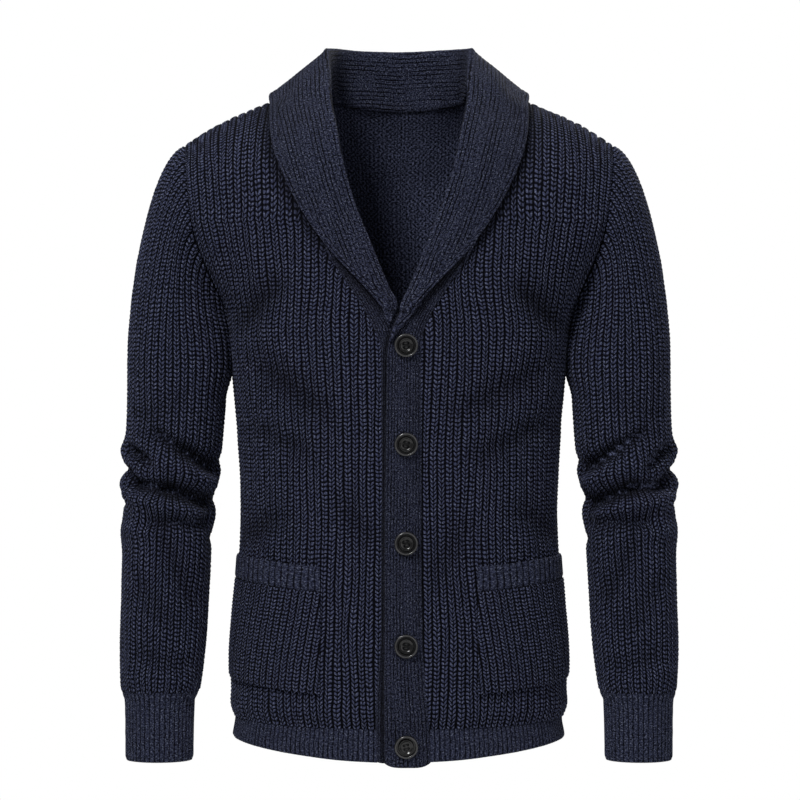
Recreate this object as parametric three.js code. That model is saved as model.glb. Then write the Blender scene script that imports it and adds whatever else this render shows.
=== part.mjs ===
// Shawl collar cardigan, buttoned and filled out as it is worn, with nobody in it.
// Millimetres, +Z up, the front faces -Y and the wearer's left side is +X.
// The origin is the middle of the neck, level with the high points of the shoulders.
import * as THREE from 'three';

// Driving sizes
const WALL = 3.0; // thickness of the knitted cloth
const SEAM = 0.3; // space left between two pieces that are sewn together
const ARMHOLE_GAP = 0.9; // the same, measured level across the slanted armhole seam
const CHEST_Z = -150; // below this level the body is a stack of level sections
const NECK_HALF = 78; // half width of the neck at the shoulder seams
const SHOULDER_HALF = 224; // half width at the tips of the shoulder seams
const SHOULDER_SLOPE = 0.466; // fall of the shoulder seam for each mm outwards
const SHOULDER_Y = 8; // the shoulder seams run over the body at this depth
const BACK_NECK_DROP = 25; // the back neckline dips this far at its centre
const BACK_NECK_HOLLOW = 0.7; // how much more the back runs in towards the neck
const RISE = 150; // length of cloth from the chest level over to the shoulder seam
const UNDERARM_Z = -240;
const COLLAR_END_Z = -240; // the collar ends and the front bands begin here
const CUFF_TOP_Z = -632;
const CUFF_BOTTOM_Z = -701;
const SLEEVE_BEND_Z = -300; // the sleeve hangs in level sections below this
const POCKET_INNER_X = 79;
const BAND_LIFT = 3.8; // the buttonhole band lies this far above the button band
const BUTTON_DIAMETER = 24;
const BUTTON_THICK = 4.4;
const BUTTON_X = 7;
const BUTTON_LEVELS = [-278, -377, -477, -580, -680];
const DEG = Math.PI / 180;

// Level sections of the body: half width, depth of the front and depth of the back
const BODY = [
  { z: -705, half: 171, front: 113, back: 108 },
  { z: -682, half: 173, front: 114, back: 109 },
  { z: -662, half: 174, front: 115, back: 110 },
  { z: -634, half: 178, front: 119, back: 114 },
  { z: -593, half: 179, front: 119, back: 113 },
  { z: -541, half: 173, front: 115, back: 106 },
  { z: -484, half: 166, front: 113, back: 100 },
  { z: -437, half: 165, front: 113, back: 98 },
  { z: -385, half: 167, front: 115, back: 99 },
  { z: -333, half: 171, front: 119, back: 104 },
  { z: -270, half: 176, front: 123, back: 110 },
  { z: -240, half: 180, front: 124, back: 112 },
  { z: -211, half: 199, front: 122, back: 112 },
  { z: -171, half: 231, front: 118, back: 109 },
  { z: -150, half: 245, front: 116, back: 108 },
];

// Armhole seam: how far out it runs at each level, at the front and at the back
const ARMHOLE = [
  { z: -240, front: 180, back: 180 },
  { z: -211, front: 193, back: 190 },
  { z: -171, front: 209, back: 203 },
  { z: -129, front: 217, back: 211 },
  { z: -68, front: 224, back: 224 },
];

// Neckline seam of either front, from the shoulder down to the bands
const NECKLINE = [
  { z: -262, x: 25.5 },
  { z: -245, x: 34 },
  { z: -224, x: 46 },
  { z: -207, x: 57.5 },
  { z: -193, x: 68 },
  { z: -170, x: 80 },
  { z: -120, x: 87 },
  { z: -60, x: 85 },
  { z: 0, x: 78 },
];

// Front bands: seam of the button band, free edge and seam of the buttonhole band
const BANDS = [
  { z: -705, underSeam: -24, overFree: -15, overSeam: 32.5 },
  { z: -653, underSeam: -24, overFree: -15.5, overSeam: 30 },
  { z: -627, underSeam: -23, overFree: -15.7, overSeam: 27.5 },
  { z: -572, underSeam: -19, overFree: -15, overSeam: 24 },
  { z: -400, underSeam: -18, overFree: -14, overSeam: 23 },
  { z: -300, underSeam: -18, overFree: -12.5, overSeam: 23 },
  { z: -282, underSeam: -18, overFree: -12, overSeam: 23 },
  { z: -262, underSeam: -25.5, overFree: -7, overSeam: 25.5 },
  { z: -240, underSeam: -36.5, overFree: 3, overSeam: 36.5 },
];

// Collar sections: place of the roll, then the leaf edge by its x and its level.
// The level of a leaf edge on the body is a height, or a rise over the shoulder.
const COLLAR_BACK = [
  { across: 0, rollX: 0, rollY: 72, edgeX: 0, edgeRise: 57 },
  { across: 0.25, rollX: 22, rollY: 70, edgeX: 38, edgeRise: 64 },
  { across: 0.5, rollX: 43, rollY: 62, edgeX: 74, edgeRise: 78 },
  { across: 0.75, rollX: 63, rollY: 41, edgeX: 108, edgeRise: 103 },
  { across: 1, rollX: 72, rollY: 8, edgeX: 140, edgeRise: 150 },
];
const COLLAR_FRONT = [
  { z: -240, rollX: 4.5, rollY: -121, edgeX: 17, edgeZ: -240, lift: 6.5 },
  { z: -222, rollX: 11, rollY: -121, edgeX: 33, edgeZ: -221, lift: 7 },
  { z: -190, rollX: 23, rollY: -118, edgeX: 66, edgeZ: -186, lift: 8 },
  { z: -150, rollX: 39, rollY: -112, edgeX: 97, edgeZ: -143, lift: 9 },
  { z: -96, rollX: 55, rollY: -106, edgeX: 122, edgeZ: -92, lift: 9 },
  { z: -60, rollX: 62, rollY: -93, edgeX: 131, edgeZ: -67, lift: 9 },
  { z: -35, rollX: 67, rollY: -74, edgeX: 137, edgeZ: -50, lift: 9 },
  { z: 0, rollX: 72, rollY: 6, edgeX: 140, edgeZ: -28, lift: 9 },
];
const ROLL_HEIGHT = 32;

// Sleeve sections: centre, half width and half depth
const SLEEVE = [
  { z: -300, x: 230.5, y: 0, half: 52, deep: 65 },
  { z: -345, x: 231.5, y: -3, half: 51, deep: 62 },
  { z: -400, x: 235, y: -7, half: 50, deep: 58 },
  { z: -450, x: 238.5, y: -12, half: 47, deep: 54 },
  { z: -520, x: 241, y: -21, half: 45.5, deep: 49 },
  { z: -580, x: 243, y: -31, half: 43.5, deep: 46 },
  { z: -632, x: 245, y: -41, half: 37.5, deep: 40 },
  { z: -640, x: 245.5, y: -42, half: 34.5, deep: 36 },
  { z: -701, x: 245.5, y: -47, half: 33.5, deep: 34 },
];

// Folds above and below the elbow: level on the outside and on the inside of the arm
const FOLDS = [
  { outer: -372, inner: -398, height: -6, reach: 9 },
  { outer: -387, inner: -417, height: 5, reach: 10 },
  { outer: -406, inner: -434, height: -9, reach: 10 },
  { outer: -424, inner: -450, height: 4, reach: 10 },
  { outer: -441, inner: -468, height: -5, reach: 9 },
  { outer: -462, inner: -486, height: 3, reach: 12 },
];

// Rows of the panels, and where their columns lie across them
const ROWS = [
  -645, -631, -600, -565, -529, -504, -460, -425, -390, -355, -322, -292,
  -262, -240, -222, -206, -190, -170, -150,
];
const RISES = [30, 60, 90, 120, 150];
const FRONT_COLUMNS = [0, 0.13, 0.25, 0.37, 0.49, 0.61, 0.73, 0.87, 1];
const POCKET_COLUMN = 2;
const BACK_COLUMNS = [0, 0.14, 0.281, 0.4, 0.52, 0.64, 0.76, 0.88, 1];

// A smooth curve through one named column of a table
function curve(table, key, column) {
  const rows = [...table].sort((a, b) => a[key] - b[key]);
  const last = rows.length - 1;
  const slope = (i) => {
    const low = rows[Math.max(i - 1, 0)];
    const high = rows[Math.min(i + 1, last)];
    return (high[column] - low[column]) / (high[key] - low[key]);
  };
  return (at) => {
    const here = Math.min(Math.max(at, rows[0][key]), rows[last][key]);
    let i = 0;
    while (i < last - 1 && here > rows[i + 1][key]) i += 1;
    const span = rows[i + 1][key] - rows[i][key];
    const t = (here - rows[i][key]) / span;
    const s = t * t * (3 - 2 * t);
    const start = t * (1 - t) * (1 - t) * span * slope(i);
    const end = t * t * (t - 1) * span * slope(i + 1);
    return rows[i][column] * (1 - s) + rows[i + 1][column] * s + start + end;
  };
}

const bodyHalf = curve(BODY, 'z', 'half');
const bodyDepth = { front: curve(BODY, 'z', 'front'), back: curve(BODY, 'z', 'back') };
const armhole = { front: curve(ARMHOLE, 'z', 'front'), back: curve(ARMHOLE, 'z', 'back') };
const neckline = curve(NECKLINE, 'z', 'x');
const bandLine = {
  underSeam: curve(BANDS, 'z', 'underSeam'),
  overFree: curve(BANDS, 'z', 'overFree'),
  overSeam: curve(BANDS, 'z', 'overSeam'),
};

const mix = (a, b, t) => a + (b - a) * t;
const smooth = (low, high, at) => {
  const t = Math.min(Math.max((at - low) / (high - low), 0), 1);
  return t * t * (3 - 2 * t);
};
const signedPower = (value, power) => Math.sign(value) * Math.abs(value) ** power;
const shoulderZ = (x) => -SHOULDER_SLOPE * (Math.abs(x) - NECK_HALF);

// Outer surface of the body at an angle from its centre line and a level. A level up to
// zero is a height under the chest level; above zero it is a length up and over the
// shoulder, where the section leans back to the shoulder seam as a quarter turn.
function bodyPoint(side, angle, level) {
  const sign = side === 'front' ? -1 : 1;
  const z = CHEST_Z + Math.min(level, 0);
  const half = bodyHalf(z);
  const depth = bodyDepth[side](z);
  const x = half * Math.sin(angle);
  if (level <= 0) return new THREE.Vector3(x, sign * depth * Math.cos(angle), z);
  const turn = (level / RISE) * 90 * DEG;
  const hollow = side === 'back' ? BACK_NECK_HOLLOW * (1 - smooth(30, NECK_HALF, Math.abs(x))) : 0;
  const seamY = SHOULDER_Y + sign * SEAM / 2;
  const reach = sign * depth * Math.cos(angle) - seamY;
  return new THREE.Vector3(
    x,
    seamY + reach * signedPower(Math.cos(turn), 1 + hollow),
    CHEST_Z + (shoulderZ(x) - CHEST_Z) * Math.sin(turn),
  );
}

// Outward normal of the body, from its slopes in both directions
function bodyNormal(side, angle, level) {
  const step = 0.002;
  const across = bodyPoint(side, angle + step, level).sub(bodyPoint(side, angle - step, level));
  const low = level > 0 ? level - step : level - 1;
  const high = level > 0 ? level + step : level;
  const up = bodyPoint(side, angle, high).sub(bodyPoint(side, angle, low));
  const normal = across.cross(up).normalize();
  const sign = side === 'front' ? 1 : -1;
  return normal.multiplyScalar(sign);
}

// A point held a distance off the body's outer surface
function offBody(side, angle, level, distance) {
  return bodyPoint(side, angle, level).addScaledVector(bodyNormal(side, angle, level), distance);
}

const angleAt = (x, z) => Math.asin(Math.min(Math.max(x / bodyHalf(Math.min(z, CHEST_Z)), -1), 1));

// The rise over the shoulder that reaches a height, for a place across the body
function levelAt(x, z) {
  if (z <= CHEST_Z) return z - CHEST_Z;
  const part = Math.min((z - CHEST_Z) / (shoulderZ(x) - CHEST_Z), 1);
  return (Math.asin(part) / (90 * DEG)) * RISE;
}

// Levels of the panel rows, with the bottom row on the rib seam
const LEVELS = [null, ...ROWS.map((z) => z - CHEST_Z), ...RISES];
const ribSeamZ = (angle) => -659 - 5 * Math.cos(angle);
const hemZ = (side, angle) => -682 - (side === 'front' ? 15.5 : 6) * Math.cos(angle) ** 2;

// Angle of the outer edge of a panel: the side seam, then the armhole
function outerAngle(side, level) {
  if (level <= UNDERARM_Z - CHEST_Z) return 90 * DEG - SEAM / 2 / 100;
  const top = shoulderZ(SHOULDER_HALF);
  const z = level <= 0 ? CHEST_Z + level : CHEST_Z + (top - CHEST_Z) * Math.sin(level / RISE * 90 * DEG);
  const full = 90 * DEG - SEAM / 2 / 100;
  return Math.min(Math.asin(Math.min(armhole[side](z) / bodyHalf(Math.min(z, CHEST_Z)), 1)), full);
}

// Angle of the inner edge of a front: band seam, then neckline
function innerAngle(flank, level) {
  const z = level <= 0 ? CHEST_Z + level : CHEST_Z - CHEST_Z * Math.sin(level / RISE * 90 * DEG);
  const seam = flank === 'right' ? -bandLine.underSeam(z) : bandLine.overSeam(z);
  const x = z < COLLAR_END_Z ? seam : neckline(z);
  return angleAt(x + SEAM / 2, z);
}

// Angles of the columns of a front at one level; one column is the pocket's inner edge
function frontAngles(flank, level) {
  const inner = innerAngle(flank, level);
  const outer = outerAngle('front', level);
  const z = CHEST_Z + Math.min(level, -300);
  const pocket = (angleAt(POCKET_INNER_X, z) - inner) / (outer - inner);
  const plain = FRONT_COLUMNS[POCKET_COLUMN];
  const edge = level < -300 ? pocket : mix(pocket, plain, smooth(-300, -100, level));
  return FRONT_COLUMNS.map((part) => {
    const moved = part < plain ? (part / plain) * edge : mix(edge, 1, (part - plain) / (1 - plain));
    return mix(inner, outer, moved);
  });
}

// A closed shell from two matching grids of points, one for each face of the cloth.
// A ring closes on itself along its rows.
function shell(outer, inner, ring = false) {
  const rows = outer.length;
  const columns = outer[0].length;
  const positions = [];
  for (const grid of [outer, inner]) {
    for (const row of grid) {
      for (const point of row) positions.push(point.x, point.y, point.z);
    }
  }
  const at = (face, i, j) => face * rows * columns + i * columns + (j % columns);
  const faces = [];
  const quad = (a, b, c, d) => faces.push(a, b, c, a, c, d);
  const spans = ring ? columns : columns - 1;
  for (let i = 0; i < rows - 1; i += 1) {
    for (let j = 0; j < spans; j += 1) {
      quad(at(0, i, j), at(0, i, j + 1), at(0, i + 1, j + 1), at(0, i + 1, j));
      quad(at(1, i, j), at(1, i + 1, j), at(1, i + 1, j + 1), at(1, i, j + 1));
    }
  }
  for (let j = 0; j < spans; j += 1) {
    quad(at(0, 0, j), at(1, 0, j), at(1, 0, j + 1), at(0, 0, j + 1));
    quad(at(0, rows - 1, j + 1), at(1, rows - 1, j + 1), at(1, rows - 1, j), at(0, rows - 1, j));
  }
  for (let i = 0; i < rows - 1 && !ring; i += 1) {
    quad(at(0, i + 1, 0), at(1, i + 1, 0), at(1, i, 0), at(0, i, 0));
    const end = columns - 1;
    quad(at(0, i, end), at(1, i, end), at(1, i + 1, end), at(0, i + 1, end));
  }
  const geometry = new THREE.BufferGeometry();
  geometry.setAttribute('position', new THREE.Float32BufferAttribute(positions, 3));
  geometry.setIndex(volume(positions, faces) > 0 ? faces : faces.reverse());
  geometry.computeVertexNormals();
  return geometry;
}

// Enclosed volume, which is below zero where the faces point in
function volume(positions, faces) {
  const corner = (i) => new THREE.Vector3().fromArray(positions, faces[i] * 3);
  let total = 0;
  for (let i = 0; i < faces.length; i += 3) {
    total += corner(i).dot(corner(i + 1).cross(corner(i + 2)));
  }
  return total;
}

// A shell on the body between two distances off it, from a grid of angles and levels
function bodyShell(side, grid, far, near) {
  const place = (distance) => grid.map((row) => row.map(
    (node) => offBody(side, node.angle, node.level, node.lift ? distance + node.lift : distance),
  ));
  return shell(place(far), place(near));
}

// Materials
const fabric = (colour) => new THREE.MeshStandardMaterial({ color: colour, roughness: 0.95, metalness: 0 });
const bodyKnit = fabric(0x1e2031);
const bandKnit = fabric(0x272a38);
const buttonPlastic = new THREE.MeshStandardMaterial({ color: 0x0b0a0a, roughness: 0.25, metalness: 0 });

const group = new THREE.Group();
function add(name, geometry, material) {
  const mesh = new THREE.Mesh(geometry, material);
  mesh.name = name;
  group.add(mesh);
  return mesh;
}

// Fronts and back: flat panels with their rows from the rib seam to the shoulder
function frontGrid(flank) {
  const sign = flank === 'right' ? -1 : 1;
  return LEVELS.map((level) => frontAngles(flank, level ?? -510).map((angle) => ({
    angle: sign * angle,
    level: level ?? ribSeamZ(angle) - CHEST_Z,
  })));
}

function backNeckLevel(angle) {
  const x = bodyHalf(CHEST_Z) * Math.sin(angle);
  if (Math.abs(x) >= NECK_HALF) return RISE;
  const dip = BACK_NECK_DROP * (1 - (x / NECK_HALF) ** 2) ** 0.6;
  return levelAt(x, -dip);
}

function backGrid() {
  const parts = [...BACK_COLUMNS.slice(1).reverse().map((part) => -part), ...BACK_COLUMNS];
  return LEVELS.map((level) => parts.map((part) => {
    const outer = outerAngle('back', level ?? -510);
    const angle = part * outer;
    if (level === null) return { angle, level: ribSeamZ(angle) - CHEST_Z };
    if (level <= 0) return { angle, level };
    const top = backNeckLevel(part * outerAngle('back', RISE));
    return { angle, level: level * (top / RISE) };
  }));
}

const frontGrids = { right: frontGrid('right'), left: frontGrid('left') };
const backNodes = backGrid();
add('back_panel', bodyShell('back', backNodes, 0, -WALL), bodyKnit);
add('right_front', bodyShell('front', frontGrids.right, 0, -WALL), bodyKnit);
add('left_front', bodyShell('front', frontGrids.left, 0, -WALL), bodyKnit);

// Hem ribs: they hang from the panels' lowest rows, beside the bands at the front
function hemGrid(side, angles, flank) {
  return [0, 0.5, 1].map((part) => angles.map((angle, j) => {
    const level = mix(ribSeamZ(angle) - SEAM, hemZ(side, angle), part) - CHEST_Z;
    const beside = flank && j === 0;
    return { angle: beside ? Math.sign(angle) * innerAngle(flank, level) : angle, level };
  }));
}

for (const flank of ['right', 'left']) {
  const angles = frontGrids[flank][0].map((node) => node.angle);
  const rib = hemGrid('front', angles, flank);
  add(`${flank}_front_hem_rib`, bodyShell('front', rib, 0, -WALL), bandKnit);
}
const backAngles = backNodes[0].map((node) => node.angle);
add('back_hem_rib', bodyShell('back', hemGrid('back', backAngles), 0, -WALL), bandKnit);

// Front bands: the button band lies under, the buttonhole band over it
const BAND_ROWS = [...ROWS.filter((z) => z < COLLAR_END_Z), COLLAR_END_Z - SEAM];

function bandGrid(bottom, from, to, lifts) {
  const rows = [bottom, -681, -664, ...BAND_ROWS];
  return rows.map((z) => lifts.map(([part, lift]) => ({
    angle: angleAt(mix(from(z), to(z), part), z),
    level: z - CHEST_Z,
    lift,
  })));
}

const hiddenEdge = (z) => (z > -250 ? 0 : 11);
const underGrid = bandGrid(
  -698,
  (z) => bandLine.underSeam(z) + SEAM / 2,
  hiddenEdge,
  [[0, 0], [0.3, 0], [0.65, 0], [1, 0]],
);
add('button_band', bodyShell('front', underGrid, 0, -WALL), bandKnit);
const overGrid = bandGrid(
  -702,
  bandLine.overFree,
  (z) => bandLine.overSeam(z) - SEAM / 2,
  [[0, BAND_LIFT], [0.4, BAND_LIFT], [0.74, BAND_LIFT], [1, 0]],
);
add('buttonhole_band', bodyShell('front', overGrid, 0, -WALL), bandKnit);

// Pockets: patches on the fronts' own nodes, each with a rib band across its mouth
function pocketGrid(flank, rowFrom, rowTo, inset) {
  const rows = frontGrids[flank].slice(rowFrom, rowTo + 1);
  return rows.map((row, i) => row.slice(POCKET_COLUMN).map((node, j, all) => {
    const last = j === all.length - 1;
    const side = node.angle * (last ? 0.985 : 1);
    const drop = 12 * Math.sin(node.angle) ** 2;
    return { angle: side, level: node.level + drop + (i === 0 ? inset[0] : 0) + (i === rows.length - 1 ? inset[1] : 0) };
  }));
}

const POCKET_ROW = { bottom: 2, mouth: 5, top: 6 };
for (const flank of ['right', 'left']) {
  const bag = pocketGrid(flank, POCKET_ROW.bottom, POCKET_ROW.mouth, [0, -SEAM]);
  add(`${flank}_pocket`, bodyShell('front', bag, 1 + WALL, 1), bodyKnit);
  const rib = pocketGrid(flank, POCKET_ROW.mouth, POCKET_ROW.top, [0, 0]);
  add(`${flank}_pocket_rib`, bodyShell('front', rib, 1.4 + WALL, 1), bandKnit);
}

// Sleeve: rings from the armhole seam over the sleeve head, then level rings down the arm
function armholeLoop() {
  const from = LEVELS.indexOf(UNDERARM_Z - CHEST_Z);
  const edge = (side, grid) => grid.slice(from).map((row) => {
    const node = row[row.length - 1];
    return bodyPoint(side, node.angle, node.level);
  });
  const front = edge('front', frontGrids.left);
  const back = edge('back', backNodes);
  const loop = [...front.reverse(), ...back.slice(1, -1)];
  loop[front.length - 1].y = 0;
  loop[0].y = SHOULDER_Y;
  return loop.map((point) => point.add(new THREE.Vector3(ARMHOLE_GAP, 0, 0)));
}

const sleeveLine = {
  x: curve(SLEEVE, 'z', 'x'),
  y: curve(SLEEVE, 'z', 'y'),
  half: curve(SLEEVE, 'z', 'half'),
  deep: curve(SLEEVE, 'z', 'deep'),
};

// Sum of the folds at an angle round the arm, where zero is the outside of the arm
function foldHeight(turn, z) {
  let height = 0;
  for (const fold of FOLDS) {
    const middle = mix(fold.inner, fold.outer, (1 + Math.cos(turn)) / 2);
    height += fold.height * Math.exp(-(((z - middle) / fold.reach) ** 2));
  }
  return height;
}

function sleevePoint(turn, z) {
  const height = foldHeight(turn, z);
  return new THREE.Vector3(
    sleeveLine.x(z) + (sleeveLine.half(z) + height) * Math.cos(turn),
    sleeveLine.y(z) - (sleeveLine.deep(z) + height) * Math.sin(turn),
    z,
  );
}

// Turn of each loop point round the arm, by its share of the loop's length
function loopTurns(loop) {
  const lengths = loop.map((point, i) => point.distanceTo(loop[(i + 1) % loop.length]));
  const total = lengths.reduce((sum, length) => sum + length, 0);
  let run = 0;
  return lengths.map((length) => {
    const turn = (run / total) * 2 * Math.PI;
    run += length;
    return turn;
  });
}

// Direction in which the sleeve leaves the armhole, and how strongly
function headTangent(turn) {
  const top = Math.max(Math.cos(turn), 0) ** 2;
  const bottom = Math.max(-Math.cos(turn), 0) ** 2;
  const flank = Math.sin(turn) ** 2;
  return new THREE.Vector3(
    115 * top + 12 * bottom + 60 * flank,
    -14 * Math.sin(turn) * flank,
    -12 * top - 60 * bottom - 60 * flank,
  );
}

const HEAD_STEPS = 7;
const ARM_ROWS = [
  -325, -348, -362, -375, -387, -398, -409, -421, -433, -446, -460, -478, -505, -540, -580,
  -610, CUFF_TOP_Z,
];

function sleeveRows() {
  const loop = armholeLoop();
  const turns = loopTurns(loop);
  const rows = [];
  for (let step = 0; step < HEAD_STEPS; step += 1) {
    const t = step / (HEAD_STEPS - 1);
    rows.push(loop.map((start, i) => {
      const end = sleevePoint(turns[i], SLEEVE_BEND_Z);
      const fall = new THREE.Vector3(0, 0, -1).multiplyScalar(start.distanceTo(end));
      const point = start.clone().multiplyScalar((1 + 2 * t) * (1 - t) ** 2);
      point.addScaledVector(headTangent(turns[i]), t * (1 - t) ** 2);
      point.addScaledVector(end, t * t * (3 - 2 * t));
      return point.addScaledVector(fall, t * t * (t - 1));
    }));
  }
  for (const z of ARM_ROWS) rows.push(turns.map((turn) => sleevePoint(turn, z)));
  return rows;
}

// Offset a grid of rings inwards by the wall, along the normals between neighbours.
// A level ring stays level.
function insideOf(rows) {
  const count = rows[0].length;
  return rows.map((row, i) => row.map((point, j) => {
    const up = rows[Math.max(i - 1, 0)][j];
    const down = rows[Math.min(i + 1, rows.length - 1)][j];
    const next = row[(j + 1) % count];
    const before = row[(j + count - 1) % count];
    const normal = next.clone().sub(before).cross(down.clone().sub(up));
    if (row[0].z === row[1].z) normal.z = 0;
    return point.clone().addScaledVector(normal.normalize(), -WALL);
  }));
}

function mirrored(rows) {
  return rows.map((row) => row.map((point) => new THREE.Vector3(-point.x, point.y, point.z)));
}

function addSleeve(rows, name, material) {
  const inner = insideOf(rows);
  const flip = rows[0][0].distanceTo(rows[0][10]) < inner[0][0].distanceTo(inner[0][10]);
  if (flip) throw new Error('sleeve wall points outwards');
  add(`left_${name}`, shell(rows, inner, true), material);
  add(`right_${name}`, shell(mirrored(rows), mirrored(inner), true), material);
}

const arm = sleeveRows();
addSleeve(arm, 'sleeve', bodyKnit);
const cuffTurns = loopTurns(armholeLoop());
const cuffLevels = [CUFF_TOP_Z - SEAM, -640, -670, CUFF_BOTTOM_Z];
addSleeve(cuffLevels.map((z) => cuffTurns.map((turn) => sleevePoint(turn, z))), 'cuff_rib', bandKnit);

// Collar: a folded section carried round the neckline. Each section runs from the seam
// up the stand, over the roll and down the leaf to its edge.
const frontRoll = {
  x: curve(COLLAR_FRONT, 'z', 'rollX'),
  y: curve(COLLAR_FRONT, 'z', 'rollY'),
  edgeX: curve(COLLAR_FRONT, 'z', 'edgeX'),
  edgeZ: curve(COLLAR_FRONT, 'z', 'edgeZ'),
  lift: curve(COLLAR_FRONT, 'z', 'lift'),
};
const backRoll = {
  x: curve(COLLAR_BACK, 'across', 'rollX'),
  y: curve(COLLAR_BACK, 'across', 'rollY'),
  edgeX: curve(COLLAR_BACK, 'across', 'edgeX'),
  edgeRise: curve(COLLAR_BACK, 'across', 'edgeRise'),
};
const LEAF_CLEAR = 4.2;
const STAND_CLEAR = 3;
const STAND_INSET = 2.4; // room for the stand's own thickness where it turns up from the seam
const ROLL_GAP = 8;

// Push a point out until it is a distance clear of the body's outer surface
function clearOfBody(point, distance) {
  const side = point.y > SHOULDER_Y ? 'back' : 'front';
  const angle = angleAt(point.x, point.z);
  const level = levelAt(point.x, point.z);
  const normal = bodyNormal(side, angle, level);
  const height = point.clone().sub(bodyPoint(side, angle, level)).dot(normal);
  return point.clone().addScaledVector(normal, Math.max(distance - height, 0));
}

function foldedSection(seam, roll, out, edge, lift) {
  const rise = roll.clone().sub(seam);
  const up = rise.clone().normalize();
  const over = out.clone().addScaledVector(up, -out.dot(up)).normalize();
  const shoulder = roll.clone().addScaledVector(up, -4);
  const leaf = shoulder.clone().addScaledVector(over, ROLL_GAP);
  const along = (part, bulge) => leaf.clone().lerp(edge, part).addScaledVector(over, bulge);
  return [
    seam,
    seam.clone().lerp(shoulder, 0.5),
    shoulder,
    roll.clone().addScaledVector(over, ROLL_GAP / 2),
    leaf,
    clearOfBody(along(0.33, lift * 0.45), LEAF_CLEAR + STAND_CLEAR),
    clearOfBody(along(0.67, lift * 0.35), LEAF_CLEAR + 1),
    edge,
  ];
}

function frontSection(z, level) {
  const seamX = neckline(z);
  const inset = mix(SEAM / 2, STAND_INSET, smooth(-190, -125, z));
  const seam = offBody('front', angleAt(seamX - inset, z), level, -WALL / 2);
  const rollZ = z <= -35 ? z : mix(-35, ROLL_HEIGHT, (z + 35) / 35);
  const roll = new THREE.Vector3(frontRoll.x(z), frontRoll.y(z), rollZ);
  const edgeX = frontRoll.edgeX(z);
  const edgeZ = frontRoll.edgeZ(z);
  const edge = offBody('front', angleAt(edgeX, edgeZ), levelAt(edgeX, edgeZ), LEAF_CLEAR);
  const out = new THREE.Vector3(0.35, -1, 0.15).lerp(new THREE.Vector3(1, 0, 0), smooth(-120, 0, z));
  return foldedSection(seam, roll, out, edge, frontRoll.lift(z));
}

function backSection(x) {
  const across = Math.abs(x) / NECK_HALF;
  const angle = angleAt(Math.abs(x) - STAND_INSET * across, 0);
  const seam = offBody('back', angle, backNeckLevel(angleAt(x, 0)) + STAND_INSET, -WALL / 2);
  const roll = new THREE.Vector3(backRoll.x(across), backRoll.y(across), ROLL_HEIGHT);
  const edgeX = backRoll.edgeX(across);
  const edge = offBody('back', angleAt(edgeX, 0), backRoll.edgeRise(across), LEAF_CLEAR + 1.5);
  const out = new THREE.Vector3(Math.sin(across * 90 * DEG), Math.cos(across * 90 * DEG), 0);
  return foldedSection(seam, roll, out, edge, 8);
}

function collarGrid() {
  const sections = [];
  const firstRow = LEVELS.indexOf(COLLAR_END_Z - CHEST_Z);
  for (const level of LEVELS.slice(firstRow)) {
    if (level < RISE) {
      const z = level <= 0 ? CHEST_Z + level : CHEST_Z - CHEST_Z * Math.sin((level / RISE) * 90 * DEG);
      sections.push(frontSection(z, level));
    }
  }
  for (const part of [1, 0.75, 0.5, 0.25]) sections.push(backSection(part * NECK_HALF));
  const other = mirrored([...sections].reverse());
  return [...sections, backSection(0), ...other];
}

// Offset an open grid by a distance along the normals between neighbours
function offsetGrid(rows, distance) {
  const last = rows.length - 1;
  return rows.map((row, i) => row.map((point, j) => {
    const before = rows[Math.max(i - 1, 0)][j];
    const after = rows[Math.min(i + 1, last)][j];
    const left = row[Math.max(j - 1, 0)];
    const right = row[Math.min(j + 1, row.length - 1)];
    const normal = after.clone().sub(before).cross(right.clone().sub(left)).normalize();
    return point.clone().addScaledVector(normal, distance);
  }));
}

const collar = collarGrid();
add('shawl_collar', shell(offsetGrid(collar, WALL / 2), offsetGrid(collar, -WALL / 2)), bandKnit);

// Buttons: dished discs with a raised rim, square to the band under each
function buttonGeometry() {
  const r = BUTTON_DIAMETER / 2;
  const profile = [
    [0, 0], [r - 2, 0], [r, 1.6], [r - 0.8, BUTTON_THICK], [r - 3, BUTTON_THICK], [r - 4.5, 2.8], [0, 2.8],
  ];
  const points = profile.map(([across, high]) => new THREE.Vector2(across, high));
  const disc = new THREE.LatheGeometry(points, 14);
  disc.rotateX(90 * DEG);
  return disc;
}

BUTTON_LEVELS.forEach((z, i) => {
  const angle = angleAt(BUTTON_X, z);
  const seat = offBody('front', angle, z - CHEST_Z, BAND_LIFT + 2 * SEAM);
  const button = add(`button_${i + 1}`, buttonGeometry(), buttonPlastic);
  button.position.copy(seat);
  const facing = bodyNormal('front', angle, z - CHEST_Z);
  button.quaternion.setFromUnitVectors(new THREE.Vector3(0, 0, 1), facing);
});

export default group;
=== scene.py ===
"""Shawl collar cardigan in chunky ribbed navy knit, buttoned and filled out as worn.

Shapes are worked out in millimetres from the garment's own sizes and turned into metres
when a mesh is made. X runs to the wearer's left, the front faces -Y and Z is up.
"""
import math

import bmesh
import bpy
import numpy as np
from mathutils import Matrix, Vector


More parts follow.
